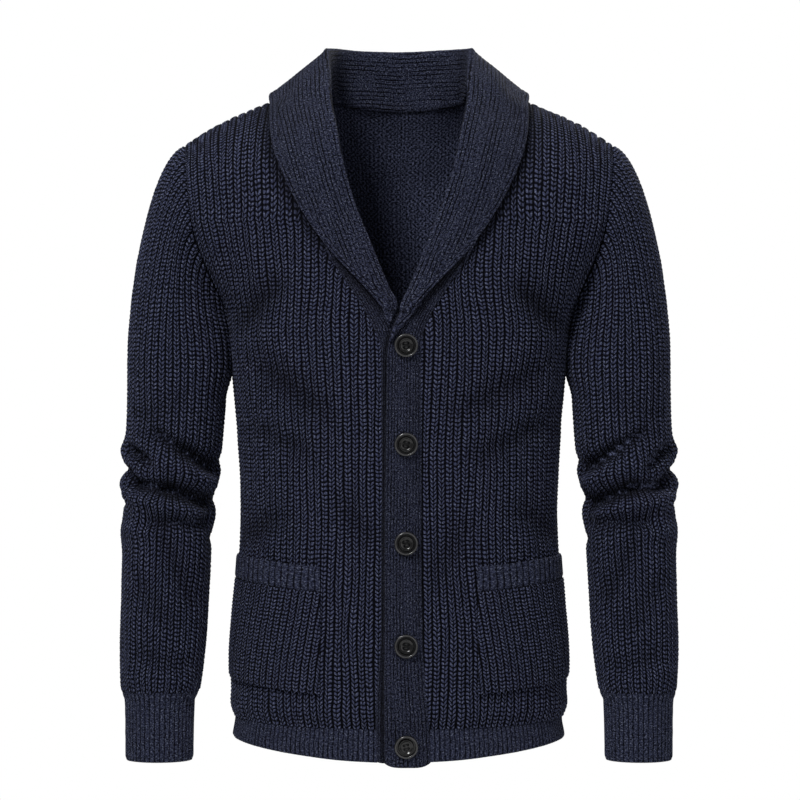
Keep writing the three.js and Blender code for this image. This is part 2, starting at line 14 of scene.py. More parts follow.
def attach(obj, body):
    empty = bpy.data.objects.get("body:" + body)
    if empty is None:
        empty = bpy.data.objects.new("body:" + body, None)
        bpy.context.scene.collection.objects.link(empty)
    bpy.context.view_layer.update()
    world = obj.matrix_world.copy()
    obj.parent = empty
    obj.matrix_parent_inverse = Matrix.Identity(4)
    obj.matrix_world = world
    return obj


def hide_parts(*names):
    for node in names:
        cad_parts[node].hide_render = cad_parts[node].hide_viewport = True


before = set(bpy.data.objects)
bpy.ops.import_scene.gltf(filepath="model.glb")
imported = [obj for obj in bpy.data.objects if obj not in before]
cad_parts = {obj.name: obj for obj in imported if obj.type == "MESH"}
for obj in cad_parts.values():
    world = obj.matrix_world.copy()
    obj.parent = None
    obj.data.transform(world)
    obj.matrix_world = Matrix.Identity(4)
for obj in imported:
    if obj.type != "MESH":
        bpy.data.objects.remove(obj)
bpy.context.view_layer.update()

# Camera: level with the middle of the garment, square to its front
MM = 0.001
VIEW_DISTANCE = 3.2
VIEW_HEIGHT = -0.333
VIEW_SIDE = 0.001
VIEW_WIDTH = 0.832
SENSOR = 36.0

# Driving sizes of the cut, in millimetres
WALL = 3.0
CHEST_Z = -150
NECK_HALF = 78
SHOULDER_HALF = 224
SHOULDER_SLOPE = 0.466
SHOULDER_Y = 8
BACK_NECK_DROP = 23.5
BACK_NECK_HOLLOW = 0.7
RISE = 150
UNDERARM_Z = -240
CUFF_TOP_Z = -632
CUFF_BOTTOM_Z = -701
SLEEVE_BEND_Z = -300
POCKET_INNER_X = 79
BAND_LIFT = 3.8
BUTTON_X = 7
BUTTON_LEVELS = (-278, -377, -477, -580, -680)
BAND_PART_Z = -262
BAND_TOP_Z = -190
COLLAR_END_Z = -240
QUARTER = math.pi / 2

# Knit gauge: wales and stitches of the body rib, and how finely they are modelled
PANEL_WALES = 28
FRONT_STITCH = 4.3
BACK_STITCH = 4.6
SLEEVE_WALES = 40
SLEEVE_STITCH = 4.5
POCKET_STITCH = 3.8
FINE_STITCH = 2.6
BAND_STITCH = 2.4

# Level sections of the body: half width, depth of the front and depth of the back
BODY = {
    "z": (-705, -682, -662, -634, -593, -541, -484, -437, -385, -333, -270, -240, -211, -171, -150),
    "half": (171, 173, 171, 174, 175, 171, 166, 165, 167, 171, 177, 181, 199, 231, 245),
    "front": (113, 114, 115, 119, 119, 115, 113, 113, 115, 119, 123, 124, 122, 118, 116),
    "back": (108, 109, 110, 114, 113, 106, 100, 98, 99, 104, 110, 112, 112, 109, 108),
}

# Armhole seam: how far out it runs at each level, at the front and at the back
ARMHOLE = {
    "z": (-240, -211, -171, -129, -68),
    "front": (180, 193, 209, 217, 224),
    "back": (180, 190, 203, 211, 224),
}

# Neckline seam of either front, from the bands up to the shoulder
NECKLINE = {
    "z": (-262, -245, -224, -207, -193, -170, -120, -60, 0),
    "x": (25.5, 34, 46, 57.5, 68, 80, 87, 85, 78),
}

# Edge of the collar's leaf on the front: height and distance from the middle
LEAF_EDGE = (-262, -240, -221, -186, -143, -92, -67, -50), (10, 17, 33, 66, 97, 122, 129, 132)

# Front bands: seam of the button band, free edge and seam of the buttonhole band
BANDS = {
    "z": (-705, -653, -627, -572, -400, -300, -282, -262, -240, -222, -205, -190),
    "under_seam": (-24, -24, -23, -19, -18, -18, -18, -25.5, -36.5, -48, -59.5, -71),
    "over_free": (-15, -15.5, -15.7, -15, -14, -12.5, -12, -7, 3, 14, 25, 36),
    "over_seam": (32.5, 30, 27.5, 24, 23, 23, 23, 25.5, 36.5, 48, 59.5, 71),
}

# Sleeve sections: centre, half width and half depth
SLEEVE = {
    "z": (-701, -640, -632, -580, -520, -450, -400, -345, -300),
    "x": (245.5, 245.5, 245, 243, 241, 238.5, 235, 231.5, 230.5),
    "y": (-47, -42, -41, -31, -21, -12, -7, -3, 0),
    "half": (34.8, 36.2, 40, 44.5, 45.5, 47, 50, 51, 52),
    "deep": (34, 36, 40, 46, 49, 54, 58, 62, 65),
}


def hermite(xs, ys, at, near=False):
    """Piecewise cubic through the rows (xs, ys), with each row's slope set by its neighbours;
    near lets the closer neighbour count for more, for rows at uneven distances."""
    xs = np.asarray(xs, float)
    ys = np.asarray(ys, float)
    order = np.argsort(xs)
    xs, ys = xs[order], ys[order]
    last = len(xs) - 1
    low = np.maximum(np.arange(last + 1) - 1, 0)
    high = np.minimum(np.arange(last + 1) + 1, last)
    spare = (1,) * (ys.ndim - 1)
    slope = (ys[high] - ys[low]) / (xs[high] - xs[low]).reshape(-1, *spare)
    if near:
        gap = np.diff(xs).reshape(-1, *spare)
        rate = np.diff(ys, axis=0) / gap
        slope[1:-1] = (rate[:-1] * gap[1:] + rate[1:] * gap[:-1]) / (gap[1:] + gap[:-1])
    at = np.clip(at, xs[0], xs[-1])
    i = np.clip(np.searchsorted(xs, at, side="right") - 1, 0, last - 1)
    span = xs[i + 1] - xs[i]
    t = (at - xs[i]) / span
    t = t.reshape(t.shape + spare)
    span = span.reshape(span.shape + spare)
    s = t * t * (3 - 2 * t)
    start = t * (1 - t) ** 2 * span * slope[i]
    end = t * t * (t - 1) * span * slope[i + 1]
    return ys[i] * (1 - s) + ys[i + 1] * s + start + end


def table_curve(table, column, key="z"):
    """A smooth function of the key column of a table."""
    return lambda at: hermite(table[key], table[column], np.asarray(at, float))


body_half = table_curve(BODY, "half")
body_depth = {"front": table_curve(BODY, "front"), "back": table_curve(BODY, "back")}
armhole_x = {"front": table_curve(ARMHOLE, "front"), "back": table_curve(ARMHOLE, "back")}
neckline_x = table_curve(NECKLINE, "x")
under_seam = table_curve(BANDS, "under_seam")
over_free = table_curve(BANDS, "over_free")
over_seam = table_curve(BANDS, "over_seam")
sleeve_x = table_curve(SLEEVE, "x")
sleeve_y = table_curve(SLEEVE, "y")
sleeve_half = table_curve(SLEEVE, "half")
sleeve_deep = table_curve(SLEEVE, "deep")


def smooth(low, high, at):
    """0 below low, 1 above high and an S curve between them."""
    t = np.clip((np.asarray(at, float) - low) / (high - low), 0, 1)
    return t * t * (3 - 2 * t)


def bell(at, middle, reach):
    """1 at the middle, falling off to nothing past about twice the reach."""
    return np.exp(-(((at - middle) / reach) ** 2))


def unit(vectors):
    """The vectors, each divided by its length."""
    return vectors / np.maximum(np.linalg.norm(vectors, axis=-1, keepdims=True), 1e-9)


def uneven(x, y, seed):
    """Smooth random values from -1 to 1: a seeded lattice of numbers, blended between its knots."""
    lattice = np.random.default_rng(seed).uniform(-1, 1, (64, 256))
    i, j = np.floor(x).astype(int), np.floor(y).astype(int)
    s, t = smooth(0, 1, x - i), smooth(0, 1, y - j)
    corner = lambda a, b: lattice[(i + a) % 64, (j + b) % 256]
    near = corner(0, 0) * (1 - s) + corner(1, 0) * s
    far = corner(0, 1) * (1 - s) + corner(1, 1) * s
    return near * (1 - t) + far * t


# The body's form

def shoulder_z(x):
    """The shoulder seam: a straight slope, rounded a little between the neck and the sleeve."""
    part = np.clip((np.abs(x) - NECK_HALF) / (SHOULDER_HALF - NECK_HALF), 0, 1)
    return -SHOULDER_SLOPE * (np.abs(x) - NECK_HALF) + 5.4 * np.sin(math.pi * part**1.7)


def body_point(side, angle, level):
    """Outer surface of the body: an ellipse arc x = half sin(angle), y = depth cos(angle) at
    each level. A level above zero is a length over the shoulder, where the section leans
    back to the shoulder seam as a quarter turn."""
    sign = -1 if side == "front" else 1
    angle, level = np.broadcast_arrays(np.asarray(angle, float), np.asarray(level, float))
    z = CHEST_Z + np.minimum(level, 0)
    half, depth = body_half(z), body_depth[side](z)
    x = half * np.sin(angle)
    y = sign * depth * np.cos(angle)
    turn = np.maximum(level, 0) / RISE * QUARTER
    hollow = BACK_NECK_HOLLOW * (1 - smooth(30, NECK_HALF, np.abs(x))) if side == "back" else 0
    lean = np.sign(np.cos(turn)) * np.abs(np.cos(turn)) ** (1 + hollow)
    y = np.where(level > 0, SHOULDER_Y + (y - SHOULDER_Y) * lean, y)
    z = np.where(level > 0, CHEST_Z + (shoulder_z(x) - CHEST_Z) * np.sin(turn), z)
    return np.stack([x, y, z], -1)


def body_normal(side, angle, level):
    """Outward normal of the body, from its slopes across and up."""
    step = 0.002
    across = body_point(side, angle + step, level) - body_point(side, angle - step, level)
    low = np.where(np.asarray(level) > 0, level - step, level - 1)
    high = np.where(np.asarray(level) > 0, level + step, level)
    up = body_point(side, angle, high) - body_point(side, angle, low)
    sign = 1 if side == "front" else -1
    return unit(np.cross(across, up)) * sign


def angle_at(x, z):
    """The angle that reaches a place across the body: the arc sine of x over the half width."""
    return np.arcsin(np.clip(x / body_half(np.minimum(z, CHEST_Z)), -1, 1))


def level_at(x, z):
    """The level that reaches a height, at a place across the body."""
    part = np.clip((z - CHEST_Z) / (shoulder_z(x) - CHEST_Z), 0, 1)
    over = np.arcsin(part) / QUARTER * RISE
    return np.where(np.asarray(z) <= CHEST_Z, z - CHEST_Z, over)


def height_of(level):
    """Height on the neckline and at the centre of a level."""
    over = CHEST_Z - CHEST_Z * np.sin(np.maximum(level, 0) / RISE * QUARTER)
    return np.where(level <= 0, CHEST_Z + level, over)


def outer_angle(side, level):
    """Angle of a panel's outer edge: the side seam, then the armhole."""
    top = shoulder_z(SHOULDER_HALF)
    turn = np.clip(level / RISE, 0, 1) * QUARTER
    z = np.where(level <= 0, CHEST_Z + level, CHEST_Z + (top - CHEST_Z) * np.sin(turn))
    reach = np.arcsin(np.clip(armhole_x[side](z) / body_half(np.minimum(z, CHEST_Z)), 0, 1))
    return np.where(level <= UNDERARM_Z - CHEST_Z, QUARTER, reach)


def inner_x(flank, z):
    """Where a front's inner edge runs: the band seam, then the neckline."""
    seam = -under_seam(z) if flank == "right" else over_seam(z)
    return np.where(z < BAND_PART_Z, seam, neckline_x(z))


def wale_angles(side, level, share):
    """Angles that split the arc from the centre to the outer edge into shares of its length.
    The arc's length is summed along each row and read back at the shares."""
    steps = np.linspace(0, 1, 121)
    out = np.empty((len(level), len(share)))
    for i, (lev, outer) in enumerate(zip(level, outer_angle(side, level))):
        angle = steps * outer
        p = body_point(side, angle, np.full_like(angle, lev))[:, :2]
        run = np.concatenate([[0], np.cumsum(np.linalg.norm(np.diff(p, axis=0), axis=1))])
        out[i] = np.interp(share * run[-1], run, angle)
    return out


def rib_seam_z(angle):
    """Height of the seam over the hem rib: lowest in the middle, by 5 cos(angle)."""
    return -659 - 5 * np.cos(angle)


def hem_z(side, angle):
    """Height of the hem: it dips in the middle with cos(angle) squared, more in front."""
    return -682 - (15.5 if side == "front" else 6) * np.cos(angle) ** 2


# Soft creases of the body, each a trough or ridge along a line on it:
# side, x and z of both ends, height and reach, in millimetres
BODY_CREASES = (
    ("front", 150, -300, 60, -345, -2.2, 13),
    ("front", -146, -292, -70, -350, -2.6, 14),
    ("front", 160, -352, 70, -392, -2.0, 12),
    ("front", -158, -358, -84, -388, -1.6, 11),
    ("front", 165, -262, 120, -215, -3.0, 12),
    ("front", -165, -262, -122, -212, -2.6, 12),
    ("front", 70, -455, 30, -520, -1.4, 14),
    ("front", -60, -430, -26, -480, -1.6, 13),
    ("front", 120, -440, 165, -475, -2.0, 12),
    ("front", -118, -448, -165, -478, -2.2, 13),
    ("back", 150, -262, 100, -210, -3.2, 13),
    ("back", -150, -262, -96, -206, -3.0, 13),
    ("back", 140, -430, 30, -462, -2.6, 15),
    ("back", -146, -420, -20, -448, -2.4, 14),
    ("back", 150, -500, 60, -520, -2.0, 13),
    ("back", -120, -505, -40, -530, -2.2, 14),
    ("back", 60, -75, -60, -78, -1.6, 10),
)


def crease_height(side, x, z):
    """Sum of the creases: each falls off as a bell beside its line and past its ends."""
    total = np.zeros(np.broadcast(x, z).shape)
    for where, x0, z0, x1, z1, height, reach in BODY_CREASES:
        if where == side:
            length = math.hypot(x1 - x0, z1 - z0)
            along = ((x - x0) * (x1 - x0) + (z - z0) * (z1 - z0)) / length
            beside = ((x - x0) * (z1 - z0) - (z - z0) * (x1 - x0)) / length
            past = np.abs(along - length / 2) - length / 2
            total += 1.5 * height * bell(beside, 0, reach) * (1 - smooth(-0.35 * length, 0.25 * length, past))
    return total


def body_drape(side, points):
    """How far the worn cloth stands off its plain form: creases, and a soft roll over the hem rib."""
    x, z = points[..., 0], points[..., 2]
    blouse = 2.6 * bell(z, -648, 11) - 1.2 * bell(z, -664, 7)
    return crease_height(side, x, z) + blouse


# Knit relief

def rib_relief(wale, stitch, deep, chain):
    """Height of the half cardigan rib: each wale is a round ridge, and its stitches are
    stacked V shapes, so the chain's phase climbs from the wale's middle to its sides."""
    off = np.abs(wale - np.floor(wale) - 0.5) * 2
    ridge = np.sqrt(np.clip(1 - off**2.6, 0, 1))
    strand = np.cos(2 * math.pi * (stitch - 0.5 * off))
    hollow = np.exp(-((off / 0.3) ** 2)) * (0.5 - 0.5 * np.cos(2 * math.pi * stitch))
    return deep * (ridge - 1) + chain * ridge * strand - 0.8 * chain * hollow


def grid_normals(points, ring=False):
    """Normals of a grid of points, from the neighbours along its rows and columns."""
    if ring:
        across = np.roll(points, -1, 1) - np.roll(points, 1, 1)
    else:
        across = np.gradient(points, axis=1)
    return unit(np.cross(across, np.gradient(points, axis=0)))


# Mesh making

def make_piece(name, places, polygons, knit=None, sides=None, depth=None):
    """A mesh object in metres from places in millimetres; knit holds each place's wale and stitch,
    sides the material number of each array of polygons, and depth how deep in a fold it lies, for painted
    shade."""
    mesh = bpy.data.meshes.new(name)
    counts = np.concatenate([np.full(len(p), p.shape[1]) for p in polygons])
    corners = np.concatenate([p.reshape(-1) for p in polygons]).astype(np.int32)
    mesh.vertices.add(len(places))
    mesh.vertices.foreach_set("co", (np.asarray(places, np.float32) * MM).reshape(-1))
    mesh.loops.add(len(corners))
    mesh.loops.foreach_set("vertex_index", corners)
    mesh.polygons.add(len(counts))
    starts = np.concatenate([[0], np.cumsum(counts)[:-1]]).astype(np.int32)
    mesh.polygons.foreach_set("loop_start", starts)
    mesh.polygons.foreach_set("loop_total", counts.astype(np.int32))
    mesh.polygons.foreach_set("use_smooth", np.full(len(counts), True))
    if sides is not None:
        number = np.concatenate([np.full(len(p), side) for p, side in zip(polygons, sides)])
        mesh.polygons.foreach_set("material_index", number.astype(np.int32))
    mesh.update(calc_edges=True)
    if knit is not None:
        layer = mesh.uv_layers.new(name="knit")
        layer.data.foreach_set("uv", np.asarray(knit, np.float32)[corners].reshape(-1))
    if depth is not None:
        layer = mesh.attributes.new("depth", "FLOAT", "POINT")
        layer.data.foreach_set("value", np.asarray(depth, np.float32))
    mesh.validate()
    obj = bpy.data.objects.new(name, mesh)
    bpy.context.scene.collection.objects.link(obj)
    return obj


def outward(places, polygons):
    """The polygons, turned over if they enclose less than nothing."""
    total = 0.0
    for p in polygons:
        a = places[p[:, 0]]
        for k in range(1, p.shape[1] - 1):
            total += np.einsum("ij,ij->i", a, np.cross(places[p[:, k]], places[p[:, k + 1]])).sum()
    return polygons if total > 0 else [p[:, ::-1] for p in polygons]


def first_columns(clamp, columns, every=1):
    """For each row, the last column at or before the cut, in steps of every."""
    return np.clip(np.searchsorted(columns, clamp, side="right") - 1, 0, len(columns) - 2) // every


def painted_fold_shade(height):
    """How much painted shade the cloth gets from a fold's height: 0 on its plain form to 1 at the bottom of a
    valley.
    """
    return np.clip(-np.asarray(height) / 9, 0, 1) ** 0.8


def cut_faces(index, start):
    """Quads of a grid of vertex numbers, with the columns before the start of each row drawn
    together on the cut: whole quads, and triangles where one side has shrunk to a point."""
    rows, columns = index.shape
    j = np.maximum(np.arange(columns)[None, :], start[:, None])
    own = index[np.arange(rows)[:, None], j]
    a, b, c, d = own[:-1, :-1], own[:-1, 1:], own[1:, 1:], own[1:, :-1]
    low, high = a != b, c != d
    quads = np.stack([a, b, c, d], -1)[low & high]
    under = np.stack([a, b, c], -1)[low & ~high]
    over = np.stack([a, c, d], -1)[~low & high]
    return [q for q in (quads, under, over) if len(q)]


def panel_shell(name, place, rows, columns, cut, skip, relief, knit, folds=None):
    """A closed cloth shell on a surface place(row, column), which gives places and normals: an
    outer face at place + normal * relief(wale, stitch), where knit(row, column) counts the wales
    and stitches, an inner face one wall inside the surface, with only every few rows and columns
    (skip), and a rim between them. Columns before each row's cut are left out, and folds(places)
    gives the height of the folds that the cloth lies in, from which its outer face gets painted shade."""
    cut = np.full(len(rows), columns[0]) if cut is None else np.maximum(cut, columns[0])
    start = first_columns(cut, columns)
    across = np.maximum(columns[None, :], cut[:, None])
    base, normal = place(rows[:, None], across)
    wale, stitch = knit(rows[:, None], across)
    outer = base + normal * relief(wale, stitch)[..., None]
    every_row, every_column = skip
    ri = np.unique(np.append(np.arange(0, len(rows), every_row), len(rows) - 1))
    ci = np.unique(np.append(np.arange(0, len(columns), every_column), len(columns) - 1))
    inner_start = np.clip(np.searchsorted(ci, start[ri], side="right") - 1, 0, len(ci) - 2)
    inner = (base - normal * WALL)[ri][:, ci]
    inner[np.arange(len(ri)), inner_start] = (base - normal * WALL)[ri, start[ri]]
    shape = (len(rows), len(columns))
    fine = np.arange(shape[0] * shape[1]).reshape(shape)
    coarse = fine.size + np.arange(len(ri) * len(ci)).reshape(len(ri), len(ci))
    faces = cut_faces(fine, start)
    hidden = cut_faces(coarse, inner_start)
    rims = rim_faces(fine, coarse, start, inner_start, ri, ci)
    uv = np.stack(np.broadcast_arrays(wale, stitch), -1)
    deep = np.zeros(shape) if folds is None else painted_fold_shade(folds(base))
    return cloth_piece(name, (outer, inner), (uv, uv[ri][:, ci]), deep, faces, hidden, rims)


def cloth_piece(name, places, knits, deep, faces, hidden, rims):
    """A closed cloth mesh: places and knit of its outer and its inner grid, the depth of the
    outer one in its folds for painted shade, and polygons of the outer face, of the reverse and of the rims."""
    places = np.concatenate([grid.reshape(-1, 3) for grid in places])
    knits = np.concatenate([grid.reshape(-1, 2) for grid in knits])
    depth = np.concatenate([deep.reshape(-1), np.zeros(len(places) - deep.size)])
    values = np.concatenate([knits, depth[:, None]], 1)
    polygons = faces + [f[:, ::-1] for f in hidden] + rims
    sides = [0] * len(faces) + [1] * len(hidden) + [0] * len(rims)
    places, values, polygons = drop_loose(places, values, polygons)
    return make_piece(name, places, outward(places, polygons), values[:, :2], sides, values[:, 2])


def rim_faces(fine, coarse, start, inner_start, ri, ci):
    """Rim between a fine outer grid and a coarse inner one: a polygon for each coarse edge,
    along the cut, the outer side, the bottom and the top."""
    rims = []
    for k in range(len(ri) - 1):
        r = np.arange(ri[k], ri[k + 1] + 1)
        chain = list(dict.fromkeys(fine[r, start[r]].tolist()))
        rims.append([coarse[k + 1, inner_start[k + 1]], coarse[k, inner_start[k]]] + chain)
        side = fine[r, -1].tolist()
        rims.append([coarse[k, -1], coarse[k + 1, -1]] + side[::-1])
    for row, k, turn in ((0, 0, 1), (-1, -1, -1)):
        edges = list(range(inner_start[k], len(ci) - 1))
        for c in edges:
            first = start[row] if c == inner_start[k] else ci[c]
            chain = fine[row, first:ci[c + 1] + 1].tolist()
            rims.append(([coarse[k, c + 1], coarse[k, c]] + chain)[::-turn])
    return group_by_size(rims)


def group_by_size(polygons):
    """Lists of corner numbers gathered into one array for each number of corners."""
    sizes = {}
    for polygon in polygons:
        if len(polygon) > 2:
            sizes.setdefault(len(polygon), []).append(polygon)
    return [np.array(group, np.int64) for group in sizes.values()]


def drop_loose(places, knits, faces):
    """Leave out the vertices that no face uses."""
    used = np.zeros(len(places), bool)
    for f in faces:
        used[f.reshape(-1)] = True
    number = np.cumsum(used) - 1
    return places[used], knits[used], [number[f] for f in faces]


# Body panels

PANEL_BOTTOM = -664 - CHEST_Z
SHARES = np.linspace(0, 1, 105)


def eased(table, rows, reach=16):
    """The table of angles with its bends along the rows eased, except at the outer edge."""
    gap = rows[1] - rows[0]
    far = int(3 * reach / gap)
    weight = bell(np.arange(-far, far + 1) * gap, 0, reach)
    weight /= weight.sum()
    padded = np.concatenate([np.repeat(table[:1], far, 0), table, np.repeat(table[-1:], far, 0)])
    soft = np.stack([np.convolve(column, weight, "valid") for column in padded.T], 1)
    hold = SHARES[None, :] ** 10
    return table * hold + soft * (1 - hold)


def read_shares(table, wale):
    """Angles for fractional wales, read between the shares of each row's table."""
    at = np.clip(np.abs(wale) / PANEL_WALES, 0, 1) * (table.shape[1] - 1)
    low = np.minimum(at.astype(int), table.shape[1] - 2)
    row = np.arange(table.shape[0])[:, None]
    return table[row, low] * (1 - (at - low)) + table[row, low + 1] * (at - low)


def panel_levels(stitch, steps):
    """Rows of a panel from the rib seam up over the shoulder, in steps of a stitch."""
    count = int(round((RISE - PANEL_BOTTOM) / (stitch / steps)))
    return np.linspace(PANEL_BOTTOM, RISE, count + 1)


def rib_side_lift(level, angle):
    """The rib seam runs a little higher at the sides than at the middle."""
    return (1 - smooth(PANEL_BOTTOM, PANEL_BOTTOM + 70, level)) * 5 * (1 - np.cos(angle))


def panel_relief(wale, stitch, edge, seed, deep=2.1, chain=0.34):
    """Rib relief with uneven stitches, sunk along the panel's seams."""
    stretch = 1 + 0.3 * uneven(wale * 1.7, stitch * 0.9, seed)
    lift = rib_relief(wale, stitch + 0.1 * uneven(wale * 1.3, stitch * 0.6, seed + 1), deep, chain * stretch)
    swell = 0.5 * uneven(wale * 0.8, stitch * 0.12, seed + 2)
    return lift + swell - 1.1 * bell(edge, 0, 2.4)


def leaf_shade(points):
    """Painted shadow on the cloth beside the collar's leaf, deepest at its edge, given as a fold's depth."""
    x, z = np.abs(points[..., 0]), points[..., 2]
    beside = (x - hermite(LEAF_EDGE[0], LEAF_EDGE[1], z)) * 0.72
    return -8.5 * bell(np.maximum(beside, 0), 0, 8) * smooth(BAND_PART_Z, -232, z) * smooth(20, -30, z)


def front_panel(flank):
    """A front: its wales run down from the shoulder and are cut by the neckline."""
    sign = -1 if flank == "right" else 1
    seed = 11 if flank == "right" else 23
    rows = panel_levels(FRONT_STITCH, 3.2)
    columns = np.arange(0, PANEL_WALES * 5 + 1) / 5
    table = eased(wale_angles("front", rows, SHARES), rows)
    z = height_of(rows)
    edge = angle_at(inner_x(flank, z) - 0.8, z)
    cut = np.array([np.interp(e, t, SHARES) for e, t in zip(edge, table)]) * PANEL_WALES

    def place(level, wale):
        wander = 0.16 * uneven(wale * 0.8, (level - PANEL_BOTTOM) * 0.02, seed + 5)
        wander = wander + 0.3 * uneven(wale * 0.21, (level - PANEL_BOTTOM) * 0.011, seed + 6)
        held = smooth(0, 1.5, PANEL_WALES - wale) * smooth(0, 1.0, wale - cut[:, None])
        angle = read_shares(table, wale + wander * held)
        tall = level + rib_side_lift(level, angle)
        point = body_point("front", sign * angle, tall)
        normal = body_normal("front", sign * angle, tall)
        return point + normal * body_drape("front", point)[..., None], normal

    def relief(wale, stitch):
        seam = np.minimum((PANEL_WALES - wale) * 9, (wale - cut[:, None]) * 9)
        return panel_relief(wale, stitch, seam, seed)

    def knit(level, wale):
        return np.broadcast_arrays(wale + 0.0, (level - PANEL_BOTTOM) / FRONT_STITCH)

    # painted shade: creases at 1.6 times their height and the painted shadow beside the collar's leaf darken
    # the colour
    def folds(base):
        return 1.6 * crease_height("front", base[..., 0], base[..., 2]) + leaf_shade(base)

    return panel_shell(f"{flank}_front_knit", place, rows, columns, cut, (4, 5), relief, knit, folds)


def back_neck_level(x):
    """Level of the back's neckline: a flat dip (1 - (x / half)^2)^0.42 between the shoulder seams."""
    dip = BACK_NECK_DROP * np.clip(1 - (x / NECK_HALF) ** 2, 0, 1) ** 0.42
    return np.where(np.abs(x) >= NECK_HALF, RISE, level_at(x, -dip))


def back_panel():
    """The back: one panel from side seam to side seam, hollowed at the neck."""
    rows = panel_levels(BACK_STITCH, 2.1)
    columns = np.arange(-PANEL_WALES * 4, PANEL_WALES * 4 + 1) / 4
    table = eased(wale_angles("back", rows, SHARES), rows)
    top_angle = wale_angles("back", np.array([float(RISE)]), SHARES)

    def place(level, wale):
        wander = 0.16 * uneven(wale * 0.8 + 40, (level - PANEL_BOTTOM) * 0.02, 35)
        wander = wander + 0.3 * uneven(wale * 0.21 + 40, (level - PANEL_BOTTOM) * 0.011, 36)
        held = smooth(0, 1.5, PANEL_WALES - np.abs(wale))
        angle = np.sign(wale) * read_shares(table, wale + wander * held)
        over = np.sign(wale) * read_shares(np.repeat(top_angle, len(rows), 0), wale)
        top = back_neck_level(body_half(CHEST_Z) * np.sin(over))
        tall = np.where(level > 0, level * top / RISE, level) + rib_side_lift(level, angle)
        point = body_point("back", angle, tall)
        normal = body_normal("back", angle, tall)
        return point + normal * body_drape("back", point)[..., None], normal

    def relief(wale, stitch):
        seam = (PANEL_WALES - np.abs(wale)) * 9
        return panel_relief(wale, stitch, seam, 37)

    def knit(level, wale):
        return np.broadcast_arrays(wale + 0.0, (level - PANEL_BOTTOM) / BACK_STITCH)

    # painted shade: creases at 1.6 times their height darken the colour in their valleys
    def folds(base):
        return 1.6 * crease_height("back", base[..., 0], base[..., 2])

    return panel_shell("back_knit", place, rows, columns, None, (6, 4), relief, knit, folds)


# Sleeves

# Elbow folds seen from the front: share across the arm (1 outside, -1 inside) and height of
# both ends, height of the fold and its reach
ARM_FOLDS = (
    (0.35, -366, -0.98, -403, -5.2, 6.5),
    (-0.25, -384, -1.0, -407, -3.6, 8),
    (0.30, -394, -0.90, -420, 4.4, 8),
    (0.95, -382, 0.48, -396, -7.5, 5),
    (0.95, -405, 0.72, -419, -6.0, 4.5),
    (0.72, -420, 0.0, -424, -8.0, 6),
    (0.0, -424, -0.98, -438, -9.0, 8),
    (1.0, -430, -0.70, -451, 4.0, 6.5),
    (0.38, -458, -0.98, -457, -4.2, 8),
    (0.95, -464, 0.25, -469, 3.4, 8),
    (0.10, -466, -0.70, -537, -3.0, 9),
    (0.60, -520, -0.30, -560, -1.8, 12),
    (-0.20, -330, 0.60, -352, -1.8, 12),
    (0.50, -590, -0.60, -606, -2.0, 11),
    (0.80, -614, -0.80, -618, 1.6, 9),
)
ARM_HALF = 48
# Outline of the sleeve at the elbow: height, how far it stands out and its reach
OUTER_EDGE = ((-384, 5.6, 10), (-404, -5.0, 4.5), (-420, 4.6, 9), (-437, -4.2, 5), (-470, 2.4, 14))
INNER_EDGE = ((-395, -2.4, 6), (-409, 1.2, 7), (-433, -5.0, 7), (-452, 2.2, 10), (-476, -2.6, 6))


def fold_height(turn, z, flank):
    """Sum of the folds round the arm; turn is zero on the outside and a quarter at the front.
    The back of the arm carries the same folds, softer and a little lower."""
    across, z = np.broadcast_arrays(np.cos(turn) * ARM_HALF, z)
    front = np.broadcast_to(smooth(-0.05, 0.55, np.sin(turn)), z.shape)
    behind = np.broadcast_to(smooth(-0.05, 0.7, -np.sin(turn)), z.shape)
    other = flank == "left"
    total = np.zeros(z.shape)
    for k, (w0, z0, w1, z1, height, reach) in enumerate(ARM_FOLDS):
        shift = 2.5 * math.sin(2.4 * k) if other else 0
        x0, x1 = w0 * ARM_HALF, w1 * ARM_HALF
        z0, z1 = z0 + shift, z1 - shift
        length = math.hypot(x1 - x0, z1 - z0)
        for weight, drop, share in ((front, 0, 1.0 if not other else 0.92), (behind, 11, 0.7)):
            along = ((across - x0) * (x1 - x0) + (z + drop - z0) * (z1 - z0)) / length
            beside = ((across - x0) * (z1 - z0) - (z + drop - z0) * (x1 - x0)) / length
            past = np.abs(along - length / 2) - length / 2
            total += 1.45 * height * share * weight * bell(beside, 0, reach) * (1 - smooth(-6, 14, past))
    edge = np.clip(1 - front - behind, 0, 1)
    for outline, side in ((OUTER_EDGE, across > 0), (INNER_EDGE, across <= 0)):
        for level, height, reach in outline:
            total += np.where(side, edge * height * bell(z, level, reach), 0)
    return total


def armhole_curve(count):
    """The armhole seam from the shoulder down the front and up the back, by equal lengths."""
    level = np.linspace(RISE, UNDERARM_Z - CHEST_Z, 200)
    front = body_point("front", outer_angle("front", level), level)
    back = body_point("back", outer_angle("back", level), level)[::-1]
    loop = np.concatenate([front, back[1:]])
    run = np.concatenate([[0], np.cumsum(np.linalg.norm(np.diff(loop, axis=0), axis=1))])
    at = np.arange(count) / count * run[-1]
    return np.stack([np.interp(at, run, loop[:, k]) for k in range(3)], -1)


def head_tangent(turn):
    """Direction and strength with which the sleeve leaves the armhole."""
    top = np.maximum(np.cos(turn), 0) ** 2
    bottom = np.maximum(-np.cos(turn), 0) ** 2
    flank = np.sin(turn) ** 2
    across = 110 * top + 60 * flank
    return np.stack([across, -14 * np.sin(turn) * flank, -36 * top - 60 * bottom - 60 * flank], -1)


